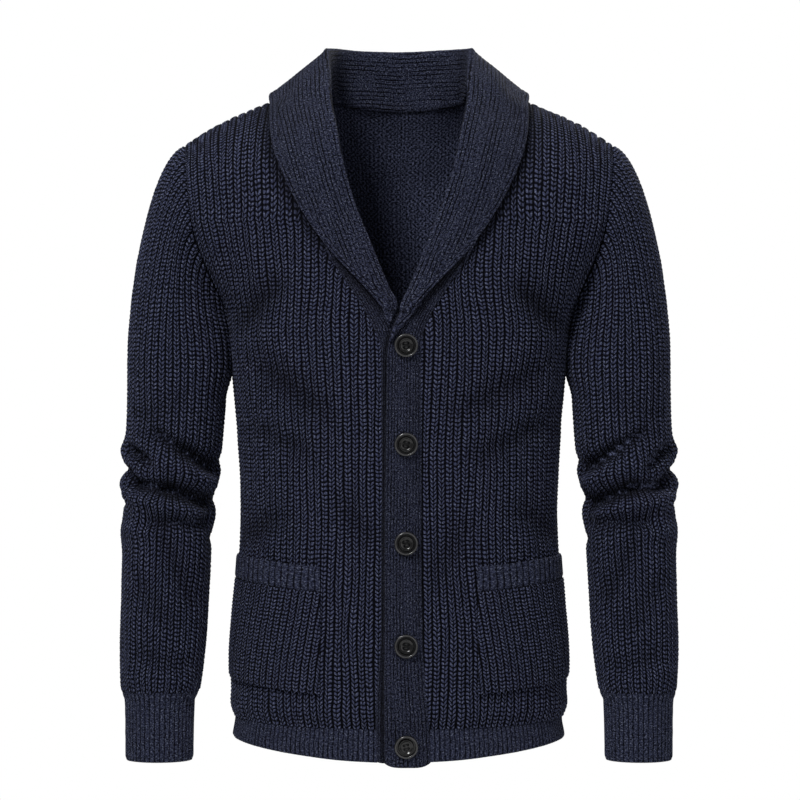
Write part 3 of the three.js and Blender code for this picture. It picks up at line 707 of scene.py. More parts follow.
def arm_point(turn, z, flank):
    """Level section of the arm: x = centre + half cos(turn), y = centre - depth sin(turn), both
    widened by the folds, and by a little more towards the body just under the armhole."""
    inside = np.maximum(-np.cos(turn), 0) ** 3
    height = fold_height(turn, z, flank) + 6.3 * inside * smooth(-332, -300, z)
    return np.stack(np.broadcast_arrays(
        sleeve_x(z) + (sleeve_half(z) + height) * np.cos(turn),
        sleeve_y(z) - (sleeve_deep(z) + height) * np.sin(turn),
        z + 0 * turn,
    ), -1)


def closed(grid, last=None):
    """The grid with its first column, or a given value, added after its last."""
    if last is not None:
        return np.concatenate([grid, np.full((len(grid), 1), float(last))], 1)
    return np.concatenate([grid, grid[:, :1]], 1)


def ring_shell(name, base, wale, stitch, relief, skip, folds=None):
    """A closed tube of cloth from rings of points: fine outside, plainer inside, rims at both
    ends. The knit's arrays have one more column than the rings, where the wales' count ends."""
    normal = grid_normals(base, ring=True)
    centre = base.mean(axis=1, keepdims=True)
    normal *= np.sign(((base - centre) * normal).sum(-1).mean())
    outer = base + normal * relief[..., None]
    rows, columns = base.shape[:2]
    ri = np.unique(np.append(np.arange(0, rows, skip[0]), rows - 1))
    ci = np.append(np.arange(0, columns, skip[1]), 0)
    inner = (base - normal * WALL)[ri][:, ci[:-1]]
    fine = np.arange(rows * (columns + 1)).reshape(rows, columns + 1)
    span = len(ci) - 1
    coarse = fine.size + np.arange(len(ri) * span).reshape(len(ri), span)
    coarse = closed(coarse)
    uv = np.stack(np.broadcast_arrays(wale, stitch), -1)
    faces = cut_faces(fine, np.zeros(rows, int))
    hidden = cut_faces(coarse, np.zeros(len(ri), int))
    rims = []
    ends = np.append(np.arange(0, columns, skip[1]), columns)
    for row, k, way in ((0, 0, 1), (rows - 1, len(ri) - 1, -1)):
        for c in range(span):
            chain = fine[row, ends[c]:ends[c + 1] + 1].tolist()
            rims.append(([coarse[k, c + 1], coarse[k, c]] + chain)[::-way])
    # painted shade: the folds' heights darken the outer face's colour in their valleys
    deep = np.zeros((rows, columns)) if folds is None else painted_fold_shade(folds)
    places, knits = (closed(outer), inner), (uv, uv[ri][:, ci[:-1]])
    obj = cloth_piece(name, places, knits, closed(deep), faces, hidden, group_by_size(rims))
    weld(obj)
    return obj


def weld(obj):
    """Join the two edges of a tube that lie on each other."""
    work = bmesh.new()
    work.from_mesh(obj.data)
    bmesh.ops.remove_doubles(work, verts=work.verts, dist=1e-6)
    work.to_mesh(obj.data)
    work.free()


def sleeve(flank):
    """A sleeve: out of the armhole over the sleeve head, then down the arm to the cuff."""
    sign = 1 if flank == "left" else -1
    seed = 51 if flank == "left" else 67
    columns = SLEEVE_WALES * 4
    turn = np.arange(columns) / columns * 2 * math.pi
    t = np.linspace(0, 1, 124)[:-1, None, None]
    begin = armhole_curve(columns)[None] - np.array([1.2, 0, 0])
    end = arm_point(turn, np.full(columns, float(SLEEVE_BEND_Z)), flank)[None]
    fall = np.zeros_like(end)
    fall[..., 2] = -np.linalg.norm(end - begin, axis=-1)
    head = (1 + 2 * t) * (1 - t) ** 2 * begin + t * (1 - t) ** 2 * head_tangent(turn)[None]
    head = head + t * t * (3 - 2 * t) * end + t * t * (t - 1) * fall
    head[..., 0] -= 10.5 * (t * (1 - t))[..., 0] * np.maximum(-np.cos(turn), 0) ** 3
    count = int(round((SLEEVE_BEND_Z - CUFF_TOP_Z) / SLEEVE_STITCH * 2.8))
    z = np.linspace(SLEEVE_BEND_Z, CUFF_TOP_Z, count + 1)[:, None]
    arm = arm_point(turn[None], z, flank)
    base = np.concatenate([head, arm])
    base[..., 0] *= sign
    step = np.linalg.norm(np.diff(base, axis=0), axis=-1)
    run = np.concatenate([np.zeros((1, columns)), np.cumsum(step, 0)])
    run = run - run[len(t)]
    stitch = -run / SLEEVE_STITCH
    wale = np.broadcast_to(turn / (2 * math.pi) * SLEEVE_WALES, run.shape)
    row = np.arange(len(base))[:, None]
    seam = np.minimum(row * 1.6, (len(base) - 1 - row) * 1.5)
    relief = panel_relief(wale, stitch, seam + 0 * wale, seed)
    # painted shade: the elbow folds darken the colour in their valleys; the sleeve head gets none
    folds = np.concatenate([np.zeros(head.shape[:2]), fold_height(turn[None], z, flank)])
    wale, stitch = closed(wale, SLEEVE_WALES), closed(stitch)
    return ring_shell(f"{flank}_sleeve_knit", base, wale, stitch, relief, (4, 4), folds)


def rib_ridges(wale, deep):
    """Height of a close rib: soft round ridges with a narrow groove between them."""
    off = np.abs(wale - np.floor(wale) - 0.5) * 2
    return deep * (np.sqrt(np.clip(1 - off**2.4, 0, 1)) - 1)


CUFF_RIBS = 42


def cuff(flank):
    """A cuff rib: a short tube whose ridges draw it in below the sleeve."""
    sign = 1 if flank == "left" else -1
    columns = CUFF_RIBS * 4
    turn = np.arange(columns) / columns * 2 * math.pi
    z = np.linspace(CUFF_TOP_Z, CUFF_BOTTOM_Z, 46)[:, None]
    base = arm_point(turn[None], z, flank)
    base[..., 0] *= sign
    wale = np.broadcast_to(turn / (2 * math.pi) * CUFF_RIBS, (len(z), columns))
    low = smooth(0, 4, z - CUFF_BOTTOM_Z) * smooth(0, 5, CUFF_TOP_Z - z)
    relief = rib_ridges(wale, 1.1) * (0.35 + 0.65 * low) - 1.2 * (1 - low)
    relief = relief + 0.25 * uneven(wale * 0.7, z * 0.15, 71)
    wale = closed(wale, CUFF_RIBS)
    stitch = np.broadcast_to(-z / FINE_STITCH, wale.shape)
    return ring_shell(f"{flank}_cuff_knit", base, wale, stitch, relief, (5, 4))


# Hem ribs

HEM_RIBS = 44
HEM_MIDDLE_Z = -672.0


def hem_rib(name, side, flank=None):
    """A hem rib from the panel's rib seam down to the hem: close ridges, drawn in at the seam."""
    sign = -1 if flank == "right" else 1
    rows = np.linspace(0, 1, 37)
    table = wale_angles(side, np.array([HEM_MIDDLE_Z - CHEST_Z]), SHARES)[0]
    first = -HEM_RIBS if flank is None else 0
    columns = np.arange(first * 4, HEM_RIBS * 4 + 1) / 4
    cut = None
    if flank is not None:
        z = hem_z(side, 0.2) + (rib_seam_z(0.2) - hem_z(side, 0.2)) * rows
        cut = np.interp(angle_at(inner_x(flank, z) - 2, z), table, SHARES) * HEM_RIBS

    def place(part, wale):
        angle = np.sign(wale) * np.interp(np.abs(wale) / HEM_RIBS, SHARES, table)
        z = hem_z(side, angle) + (rib_seam_z(angle) - hem_z(side, angle)) * part
        draw = -0.8 * smooth(0, 1, part) + 0.9 * uneven(wale * 0.16, part * 0 + 3, 81)
        point = body_point(side, sign * angle, z - CHEST_Z)
        normal = body_normal(side, sign * angle, z - CHEST_Z)
        return point + normal * draw[..., None], normal

    def relief(wale, stitch):
        part = rows[:, None]
        ends = bell(part, 0, 0.05) + bell(part, 1, 0.07)
        return rib_ridges(wale, 1.2) * (1 - 0.6 * ends) - 1.4 * ends + 0.2 * uneven(wale, stitch * 0.4, 83)

    def knit(part, wale):
        return np.broadcast_arrays(wale + 0.0, part * 12)

    return panel_shell(name, place, rows, columns, cut, (4, 5), relief, knit)


# Pockets

POCKET_Z = (-631, -529)
POCKET_RIB_Z = (-528.8, -504)
POCKET_WALE = 7.8
POCKET_GAPE = 0.8
POCKET_EDGE = 145
POCKET_LEAN = math.tan(math.radians(7))


def pocket_piece(flank, rib=False):
    """A patch on a front, or the rib across its mouth, from the upright inner edge to the side:
    its level lines climb towards the side by 12 sin(angle) squared."""
    sign = 1 if flank == "left" else -1
    seed = 91 if flank == "left" else 97
    name = f"{flank}_pocket_rib_knit" if rib else f"{flank}_pocket_knit"
    low, high = POCKET_RIB_Z if rib else POCKET_Z
    gape = POCKET_GAPE if rib else 0
    rows = np.linspace(low, high, 23 if rib else 111)
    table = wale_angles("front", rows - CHEST_Z, SHARES)
    inner = angle_at(POCKET_INNER_X, rows)
    begin = np.array([np.interp(a, t, SHARES) for a, t in zip(inner, table)])
    columns = np.arange(0, 106) / 105

    def spread(part):
        return begin[:, None] + (0.985 - begin[:, None]) * part

    def place(z, part):
        angle = read_shares(table, spread(part) * PANEL_WALES)
        tall = z + 12 * np.sin(angle) ** 2
        point = body_point("front", sign * angle, tall - CHEST_Z)
        normal = body_normal("front", sign * angle, tall - CHEST_Z)
        lift = 4.3 - 2.0 * smooth(0.75, 1.0, part) + gape * smooth(low, high, z) * np.sin(np.pi * part) ** 0.6
        return point + normal * (body_drape("front", point) + lift)[..., None], normal

    def relief(wale, stitch):
        z = rows[:, None]
        edge = np.minimum(columns[None, :], 1 - columns[None, :]) * POCKET_EDGE
        if rib:
            ends = bell(z, low, 2.2) + 0.8 * bell(z, high, 1.6)
            return rib_ridges(wale, 1.6) * (1 - 0.5 * ends) - 1.3 * ends - 1.2 * bell(edge, 0, 2)
        edge = np.minimum(edge, z - low)
        return panel_relief(wale, stitch, edge, seed)

    def knit(z, part):
        lean = 0 if rib else POCKET_LEAN * (z + 580) / POCKET_WALE
        wale = spread(part) * 226 / POCKET_WALE + lean
        return np.broadcast_arrays(wale, (z - low) / (FINE_STITCH if rib else POCKET_STITCH) + 0 * part)

    return panel_shell(name, place, rows, columns, None, (4, 5), relief, knit)


# Front bands

def band_shell(name, left_x, right_x, bottom, lift, corner, row):
    """A front band: fine upright ribs between two edges, with rounded lower corners. Above the
    V it runs on beside the neckline, and ends under the collar's leaf."""
    wales = 12
    count = int((BAND_TOP_Z - bottom) / row)
    rows = np.linspace(bottom, BAND_TOP_Z, count + 1)
    columns = np.arange(0, wales * 5 + 1) / 5

    def place(z, wale):
        part = wale / wales
        x = left_x(z) + (right_x(z) - left_x(z)) * part
        x = x + 0.35 * uneven(part * 0 + 2, z * 0.03, 103)
        tall = z + corner * np.abs(2 * part - 1) ** 4 * (1 - smooth(bottom, bottom + 25, z))
        angle = angle_at(x, tall)
        point = body_point("front", angle, tall - CHEST_Z)
        normal = body_normal("front", angle, tall - CHEST_Z)
        raised = lift(z, part) + 1.7 * bell(z, -650, 13) + 0.4 * uneven(part * 2, z * 0.02, 105)
        return point + normal * raised[..., None], normal

    def relief(wale, stitch):
        z = rows[:, None]
        edge = np.minimum(wale, wales - wale) * 3
        turn = bell(z, bottom, 2.5)
        ridge = rib_ridges(wale, 0.9) + 0.15 * uneven(wale * 2, stitch * 0.8, 107)
        return ridge * (1 - 0.5 * turn) - 1.1 * bell(edge, 0, 1.3) - 1.2 * turn

    def knit(z, wale):
        return np.broadcast_arrays(wale + 0.0, (z - bottom) / BAND_STITCH)

    # painted shade: the painted shadow beside the collar's leaf, and a painted shadow line along the
    # buttonhole band's free edge below the V
    def folds(base):
        beside = base[..., 0] - over_free(base[..., 2]) + 1.6
        return leaf_shade(base) - 8 * bell(beside, 0, 2.4) * smooth(-255, -275, base[..., 2])

    return panel_shell(name, place, rows, columns, None, (4, 5), relief, knit, folds)


def under_free(z):
    """The button band's free edge lies hidden under the other band, then under the leaf."""
    return 11 - 14 * smooth(BAND_PART_Z, COLLAR_END_Z, z) - 24 * smooth(-245, -190, z)


def over_lift(z, part):
    """The buttonhole band lies on the button band and comes down to the panel at its seam."""
    high = BAND_LIFT - (BAND_LIFT - 1.2) * smooth(BAND_PART_Z, -225, z)
    return high * (1 - smooth(0.7, 1.0, part)) + 0.4 * smooth(BAND_PART_Z, COLLAR_END_Z, z)


def under_lift(z, part):
    """The button band lies on the panel, and stands off it a little beside the neckline."""
    return 0.7 * smooth(BAND_PART_Z, COLLAR_END_Z, z) + 0 * part


# Collar

# Front of the collar: height of the seam, x and y of the roll, x and z of the leaf's edge, and
# how full the leaf stands between them
COLLAR_FRONT = (
    (-240, 2.0, -123, 17, -240, 6.5),
    (-222, 10, -121.5, 33, -221, 7),
    (-190, 23, -118, 66, -186, 8),
    (-150, 39, -112, 97, -143, 9),
    (-96, 55, -106, 122, -92, 9),
    (-60, 62, -93, 129, -67, 7),
    (-35, 67, -74, 131, -50, 4),
    (-14, 69.8, -36, 131, -35, 2),
)
# Back of the collar: share of the neck's half width, x, y and z of the roll, x of the leaf's edge
# and its length over the shoulder, and how far the stand hangs over the back's neckline
COLLAR_BACK = (
    (1.0, 71.5, 8, 32.5, 129, 150, 8),
    (0.9, 69.3, 22, 34.3, 121, 130, 8),
    (0.75, 63, 41, 36.5, 108, 103, 5),
    (0.5, 43, 62, 37, 74, 78, 3),
    (0.25, 22, 70, 36.5, 38, 64, 2),
    (0.0, 0, 72, 36, 0, 57, 1.8),
)
ROLL_HEIGHT = 32
ROLL_TURN_Z = -35
COLLAR_WALE = 4.6
EDGE_WALE = 4.8
# Places of a section's eight points: -1 at the seam, 0 on the roll and 1 at the leaf's edge
COLLAR_PARTS = (-1, -0.5, -0.1, 0, 0.09, 0.38, 0.7, 1)
COLLAR_ROW = 1.9
STAND_COLUMNS = 34
LEAF_COLUMNS = 92


def surface_off(side, angle, level, distance):
    """A point at a distance off the body, along its normal."""
    return body_point(side, angle, level) + body_normal(side, angle, level) * distance


def clear_of_body(point, distance):
    """The point, moved out until it stands clear of the body by a distance."""
    side = "back" if point[1] > SHOULDER_Y else "front"
    angle, level = angle_at(point[0], point[2]), level_at(point[0], point[2])
    normal = body_normal(side, angle, level)
    height = float(np.dot(point - body_point(side, angle, level), normal))
    return point + normal * max(distance - height, 0)


def folded_section(seam, roll, out, edge, lift):
    """A cut through the collar: from the seam up the stand, over the roll and down the leaf."""
    up = unit(roll - seam)
    over = unit(out - up * np.dot(out, up))
    shoulder = roll - up * 4
    leaf = shoulder + over * 7
    third = clear_of_body(leaf + (edge - leaf) * 0.33 + over * lift * 0.45, 5.8)
    far = clear_of_body(leaf + (edge - leaf) * 0.67 + over * lift * 0.35, 5.2)
    return np.array([seam, (seam + shoulder) / 2, shoulder, roll + over * 4, leaf, third, far, edge])


def front_section(row, sign):
    """A section in front: level with its seam on the neckline, until the roll climbs to its
    full height over the shoulder and the leaf turns from the front to the side."""
    z, roll_x, roll_y, edge_x, edge_z, lift = row
    inset = 0.15 + 2.25 * float(smooth(-190, -125, z))
    level = z - CHEST_Z
    if z > CHEST_Z:
        level = RISE * math.asin(1 - z / CHEST_Z) / QUARTER
    seam = surface_off("front", angle_at(neckline_x(z) - inset, z), level, -1.5)
    climb = max(1 - z / ROLL_TURN_Z, 0)
    roll_z = min(z, ROLL_TURN_Z) + (ROLL_HEIGHT - ROLL_TURN_Z) * climb
    edge = surface_off("front", angle_at(edge_x, edge_z), level_at(edge_x, edge_z), 4.2)
    share = float(smooth(-120, 0, z))
    out = np.array([0.35, -1, 0.15]) * (1 - share) + np.array([1.0, 0, 0]) * share
    section = folded_section(seam, np.array([roll_x, roll_y, roll_z], float), out, edge, lift)
    section[:, 0] *= sign
    return section


def back_section(row, sign):
    """A section behind, square to the neck: its leaf falls outwards by sine and cosine of the
    share of the neck's half width."""
    across, roll_x, roll_y, roll_z, edge_x, rise, hang = row
    x = across * NECK_HALF
    seam_level = float(back_neck_level(x)) - hang
    seam = surface_off("back", angle_at(x - 2.4 * across, 0), seam_level, -4.6)
    edge = surface_off("back", angle_at(edge_x, 0), rise, 5.7)
    out = np.array([math.sin(across * QUARTER), math.cos(across * QUARTER), 0])
    section = folded_section(seam, np.array([roll_x, roll_y, roll_z], float), out, edge, 8 - 8.5 * across)
    section[:, 0] *= sign
    return section


def tail_section(sign, z, part):
    """Below the V the leaf lies along the band's free edge and narrows to nothing."""
    free = float(over_free(z)) + 1.5 if sign > 0 else -2 - 8 * part
    width = 13.5 * (1 - part) + 1.2
    lift = BAND_LIFT + 2.2 if sign > 0 else 1.9
    xs = [free, free + sign * width * 0.25, free + sign * width * 0.6, free + sign * width]
    rise = [lift - 1.2, lift + 2.4 * (1 - part), lift + 1.6 * (1 - part), lift - 0.6]
    points = [surface_off("front", angle_at(x, z), z - CHEST_Z, r) for x, r in zip(xs, rise)]
    return np.array([points[0]] * 4 + [points[0] * 0.6 + points[1] * 0.4, points[1], points[2], points[3]])


def collar_sections(sign):
    """Sections of one half, from below the V up to the middle of the back."""
    low = -274 if sign > 0 else -258
    drop = low - COLLAR_END_Z
    tails = [tail_section(sign, z, (z - COLLAR_END_Z) / drop) for z in np.linspace(low, -246, 4)]
    fronts = [front_section(row, sign) for row in COLLAR_FRONT]
    backs = [back_section(row, sign) for row in COLLAR_BACK]
    for section, row in zip(fronts, COLLAR_FRONT):
        raised = 3.0 * float(1 - smooth(COLLAR_END_Z, -205, row[0])) if sign > 0 else 0
        section[1:, 1] -= raised
    return tails, fronts + backs


def shawl_collar():
    """The collar: sections carried from below the V, round the neck, and down the other front.
    Its ribs run along it, at even distances from the roll; two more follow the leaf's edge."""
    tail_r, main_r = collar_sections(-1)
    tail_l, main_l = collar_sections(1)
    main = main_r + main_l[-2::-1]
    first = len(tail_r)
    every = np.array(tail_r + main + tail_l[::-1])
    knots = np.concatenate([[0], np.cumsum(np.linalg.norm(np.diff(every[:, 3], axis=0), axis=1))])
    begin, end = knots[first], knots[first + len(main) - 1]
    parts = [
        np.linspace(0, begin, 18)[:-1],
        np.linspace(begin, end, int((end - begin) / COLLAR_ROW)),
        np.linspace(end, knots[-1], 24)[1:],
    ]
    along = np.concatenate(parts)
    own = np.array(COLLAR_PARTS)
    stand_columns = np.linspace(-1, 0, STAND_COLUMNS + 1)[:-1]
    columns = np.concatenate([stand_columns, np.linspace(0, 1, LEAF_COLUMNS + 1)])
    whole = hermite(knots, every, along, near=True)
    inner_part = hermite(knots[first:first + len(main)], every[first:first + len(main)], along, near=True)
    stand_share = (1 - smooth(-0.3, 0, columns))[None, :, None]
    leaf = hermite(own, whole.transpose(1, 0, 2), columns).transpose(1, 0, 2)
    stand = hermite(own, inner_part.transpose(1, 0, 2), columns).transpose(1, 0, 2)
    base = leaf * (1 - stand_share) + stand * stand_share
    step = np.linalg.norm(np.diff(base, axis=1), axis=-1)
    run = np.concatenate([np.zeros((len(along), 1)), np.cumsum(step, 1)], 1)
    from_roll = run - run[:, STAND_COLUMNS:STAND_COLUMNS + 1]
    to_edge = run[:, -1:] - run
    normal = -grid_normals(base)
    swell = 0.9 * uneven(from_roll / 31 + 20, along[:, None] / 46, 121) * smooth(0, 20, to_edge)
    base = base + normal * (swell + WALL / 2)[..., None]
    cut = np.where((along < begin - 1e-6) | (along > end + 1e-6), 0.0, -1.0)
    bead = (to_edge < 2 * EDGE_WALE) & (from_roll > 4)

    def place(row, column):
        return base, normal

    def knit(row, column):
        wale = np.where(bead, 200 - to_edge / EDGE_WALE, from_roll / COLLAR_WALE)
        return wale, np.broadcast_to(along[:, None] / FINE_STITCH, wale.shape)

    def relief(wale, stitch):
        ridge = rib_ridges(wale, 0.55)
        ridge = np.where(bead, rib_ridges(wale, 1.2) + 0.9 * smooth(11, 4, to_edge), ridge)
        seam = 0.8 * bell(run, 4.5, 2.2) - 1.6 * bell(run, 0, 1.6)
        return ridge + seam - 0.9 * bell(to_edge, 0, 1.2) + 0.15 * uneven(wale * 2, stitch * 0.8, 123)

    return panel_shell("shawl_collar_knit", place, along, columns, cut, (2, 4), relief, knit)


# Buttons

# Half section of a button: distance from its axis and height
BUTTON_PROFILE = (
    (0, 0), (10.4, 0), (11.4, 0.5), (11.9, 1.5), (12.0, 2.6), (11.9, 3.3), (11.6, 3.9), (11.1, 4.3),
    (10.5, 4.45), (10.0, 4.25), (9.7, 3.8), (9.5, 2.9), (9.4, 1.0), (8.1, 0.9), (7.9, 2.5), (7.6, 3.2),
    (7.2, 3.6), (6.7, 3.65), (6.2, 3.3), (5.8, 2.85), (5.3, 2.5), (4.7, 2.3), (0, 2.25),
)
# Half section of a hole, a little wider at its mouth
HOLE_PROFILE = ((0, -1), (1.1, -1), (1.1, 1.95), (1.375, 2.25), (1.375, 6), (0, 6))
HOLE_OFFSET = 1.9
THREAD_RADIUS = 0.62
BUTTON_TURNS = (8, -14, 20, -5, 12)


def ring_quads(rings, sides, first=0):
    """Quads between closed rings of as many places, the first place having a given number."""
    here = first + np.arange(rings * sides).reshape(rings, sides)
    ahead = np.roll(here, -1, 1)
    return np.stack([here[:-1], ahead[:-1], ahead[1:], here[1:]], -1).reshape(-1, 4)


def lathe(profile, sides, at=(0, 0)):
    """A turned solid: x = radius cos(turn), y = radius sin(turn), z = height, with a fan of
    triangles to the axis at either end. Returns its places and its polygons."""
    turn = np.arange(sides) / sides * 2 * math.pi
    radius, height = np.array(profile, float).T[..., None]
    x, y, z = np.broadcast_arrays(radius * np.cos(turn), radius * np.sin(turn), height)
    rings = np.stack([x + at[0], y + at[1], z], -1)
    places = np.concatenate([rings[0, :1], rings[1:-1].reshape(-1, 3), rings[-1, :1]])
    near, last = 1 + np.arange(sides), len(places) - 1
    far = near + last - 1 - sides
    low_fan = np.stack([np.zeros(sides, int), np.roll(near, -1), near], -1)
    high_fan = np.stack([far, np.roll(far, -1), np.full(sides, last)], -1)
    return places, [ring_quads(len(profile) - 2, sides, 1), low_fan, high_fan]


def stitched_thread(y, sides=10):
    """A thread across two holes: a low arch z = 2.3 + 0.75 (1 - a^3) that dives at its ends,
    with rings of places square to it. Returns its places and its polygons."""
    a = np.linspace(-1, 1, 15)
    lift = 0.75 * (1 - np.abs(a) ** 3) - 1.6 * np.abs(a) ** 12
    path = np.stack(np.broadcast_arrays(HOLE_OFFSET * a, y, 2.3 + lift), -1)
    side = np.array([0.0, 1.0, 0.0])
    up = np.cross(unit(np.gradient(path, axis=0)), side)[:, None]
    turn = (np.arange(sides) / sides * 2 * math.pi)[None, :, None]
    places = path[:, None] + THREAD_RADIUS * (np.cos(turn) * side + np.sin(turn) * up)
    ends = [np.arange(sides)[None, ::-1], (len(a) - 1) * sides + np.arange(sides)[None]]
    return places.reshape(-1, 3), [ring_quads(len(a), sides)] + ends


def button_mesh():
    """A turned button with four holes cut through it and two threads sewn across them."""
    body = make_piece("button_form", *lathe(BUTTON_PROFILE, 72))
    corners = [(x * HOLE_OFFSET, y * HOLE_OFFSET) for x in (-1, 1) for y in (-1, 1)]
    spare = [make_piece("button_hole", *lathe(HOLE_PROFILE, 28, at)) for at in corners]
    for hole in spare:
        cut = body.modifiers.new("hole", "BOOLEAN")
        cut.operation = "DIFFERENCE"
        cut.solver = "EXACT"
        cut.object = hole
    bpy.context.view_layer.update()
    drilled = body.evaluated_get(bpy.context.evaluated_depsgraph_get())
    mesh = bpy.data.meshes.new_from_object(drilled)
    mesh.materials.clear()
    work = bmesh.new()
    work.from_mesh(mesh)
    for y in (-HOLE_OFFSET, HOLE_OFFSET):
        places, polygons = stitched_thread(y)
        polygons = outward(places, polygons)
        spare.append(make_piece("button_thread", places, polygons, sides=[1] * len(polygons)))
        work.from_mesh(spare[-1].data)
    work.to_mesh(mesh)
    work.free()
    for obj in [body] + spare:
        bpy.data.objects.remove(obj)
    mesh.set_sharp_from_angle(angle=math.radians(38))
    place = np.empty(len(mesh.vertices) * 3, np.float32)
    mesh.vertices.foreach_get("co", place)
    # painted highlight: this mask is 1 on the tops of the rims, above about 3.4 mm, where the colour is
    # painted lighter
    rim_highlight = mesh.attributes.new("rim_highlight", "FLOAT", "POINT")
    rim_highlight.data.foreach_set("value", smooth(3.4, 4.4, place[2::3] / MM).astype(np.float32))
    return mesh


def buttons():
    """Five buttons, each square to the band under it; the lowest hangs a little tilted."""
    pattern = button_mesh()
    made = []
    for i, (level, turn) in enumerate(zip(BUTTON_LEVELS, BUTTON_TURNS)):
        angle = angle_at(BUTTON_X, level)
        seat = surface_off("front", angle, level - CHEST_Z, BAND_LIFT + 0.4)
        facing = Vector(body_normal("front", angle, level - CHEST_Z))
        if i == 4:
            facing = (facing + Vector((0.05, 0, -0.1))).normalized()
        pose = facing.to_track_quat("Z", "Y").to_matrix().to_4x4()
        pose.translation = Vector(seat) * MM
        mesh = pattern.copy()
        mesh.transform(pose @ Matrix.Rotation(math.radians(turn), 4, "Z"))
        obj = bpy.data.objects.new(f"button_{i + 1}_turned", mesh)
        bpy.context.scene.collection.objects.link(obj)
        made.append(obj)
    return made


# Materials

class Value:
    """A number that a material's nodes work out, so that a pattern is written as its formula."""

    def __init__(self, nodes, socket):
        self.nodes = nodes
        self.socket = socket

    def __add__(self, other):
        return self.nodes.number("ADD", self, other)

    def __mul__(self, other):
        return self.nodes.number("MULTIPLY", self, other)

    def __sub__(self, other):
        return self.nodes.number("SUBTRACT", self, other)

    def __rsub__(self, other):
        return self.nodes.number("SUBTRACT", other, self)


class Nodes:
    """A material, and short hands for building its nodes."""

    def __init__(self, name):
        self.material = bpy.data.materials.new(name)
        self.material.use_nodes = True
        self.tree = self.material.node_tree

    def add(self, kind, **settings):
        node = self.tree.nodes.new("ShaderNode" + kind)
        for name, setting in settings.items():
            setattr(node, name, setting)
        return node

    def feed(self, socket, value):
        if isinstance(value, Value):
            value = value.socket
        if isinstance(value, bpy.types.NodeSocket):
            self.tree.links.new(value, socket)
        else:
            socket.default_value = value

    def number(self, operation, *values, clamp=False):
        node = self.add("Math", operation=operation, use_clamp=clamp)
        for socket, value in zip(node.inputs, values):
            self.feed(socket, value)
        return Value(self, node.outputs[0])

    def ramp(self, value, low, high):
        node = self.add("MapRange", interpolation_type="SMOOTHSTEP")
        self.feed(node.inputs["Value"], value)
        node.inputs["From Min"].default_value = low
        node.inputs["From Max"].default_value = high
        return Value(self, node.outputs["Result"])

    def mix(self, share, first, second):
        node = self.add("Mix", data_type="RGBA")
        for k, value in ((0, share), (6, first), (7, second)):
            self.feed(node.inputs[k], value)
        return node.outputs[2]

    def place(self):
        return self.add("TexCoord").outputs["Object"]

    def attribute(self, name):
        return Value(self, self.add("Attribute", attribute_name=name).outputs["Fac"])

    def noise(self, place, scale, detail=2.0, rough=0.55):
        node = self.add("TexNoise")
        self.feed(node.inputs["Vector"], place)
        node.inputs["Scale"].default_value = scale
        node.inputs["Detail"].default_value = detail
        node.inputs["Roughness"].default_value = rough
        return Value(self, node.outputs["Fac"])

    def bump(self, height, distance):
        node = self.add("Bump")
        node.inputs["Distance"].default_value = distance
        self.feed(node.inputs["Height"], height)
        return node.outputs["Normal"]

    def finish(self, colour, roughness, **others):
        """Feed the surface's sockets, named with a line for each space, and give the material."""
        sockets = self.tree.nodes["Principled BSDF"].inputs
        self.feed(sockets["Base Color"], colour)
        self.feed(sockets["Roughness"], roughness)
        for name, value in others.items():
            self.feed(sockets[name.replace("_", " ")], value)
        return self.material


# The first tone of each set is painted shade: the near-black that low parts of the stitches and fold valleys
# are mixed towards; the others are the yarn's own colours
PAINTED_SHADE = (0.0010, 0.0011, 0.0022, 1)
YARN = (0.0285, 0.0332, 0.0670, 1)
PALE = (0.120, 0.132, 0.190, 1)
REVERSE_YARN = (0.062, 0.071, 0.126, 1)
THREAD = (0.0022, 0.0023, 0.0032, 1)
FINE_TONES = (PAINTED_SHADE, (0.0178, 0.0208, 0.0425, 1), (0.112, 0.123, 0.172, 1))
WELT_TONES = (PAINTED_SHADE, (0.0205, 0.0240, 0.0478, 1), (0.110, 0.122, 0.172, 1))
STRAND_SLOPE = 0.78


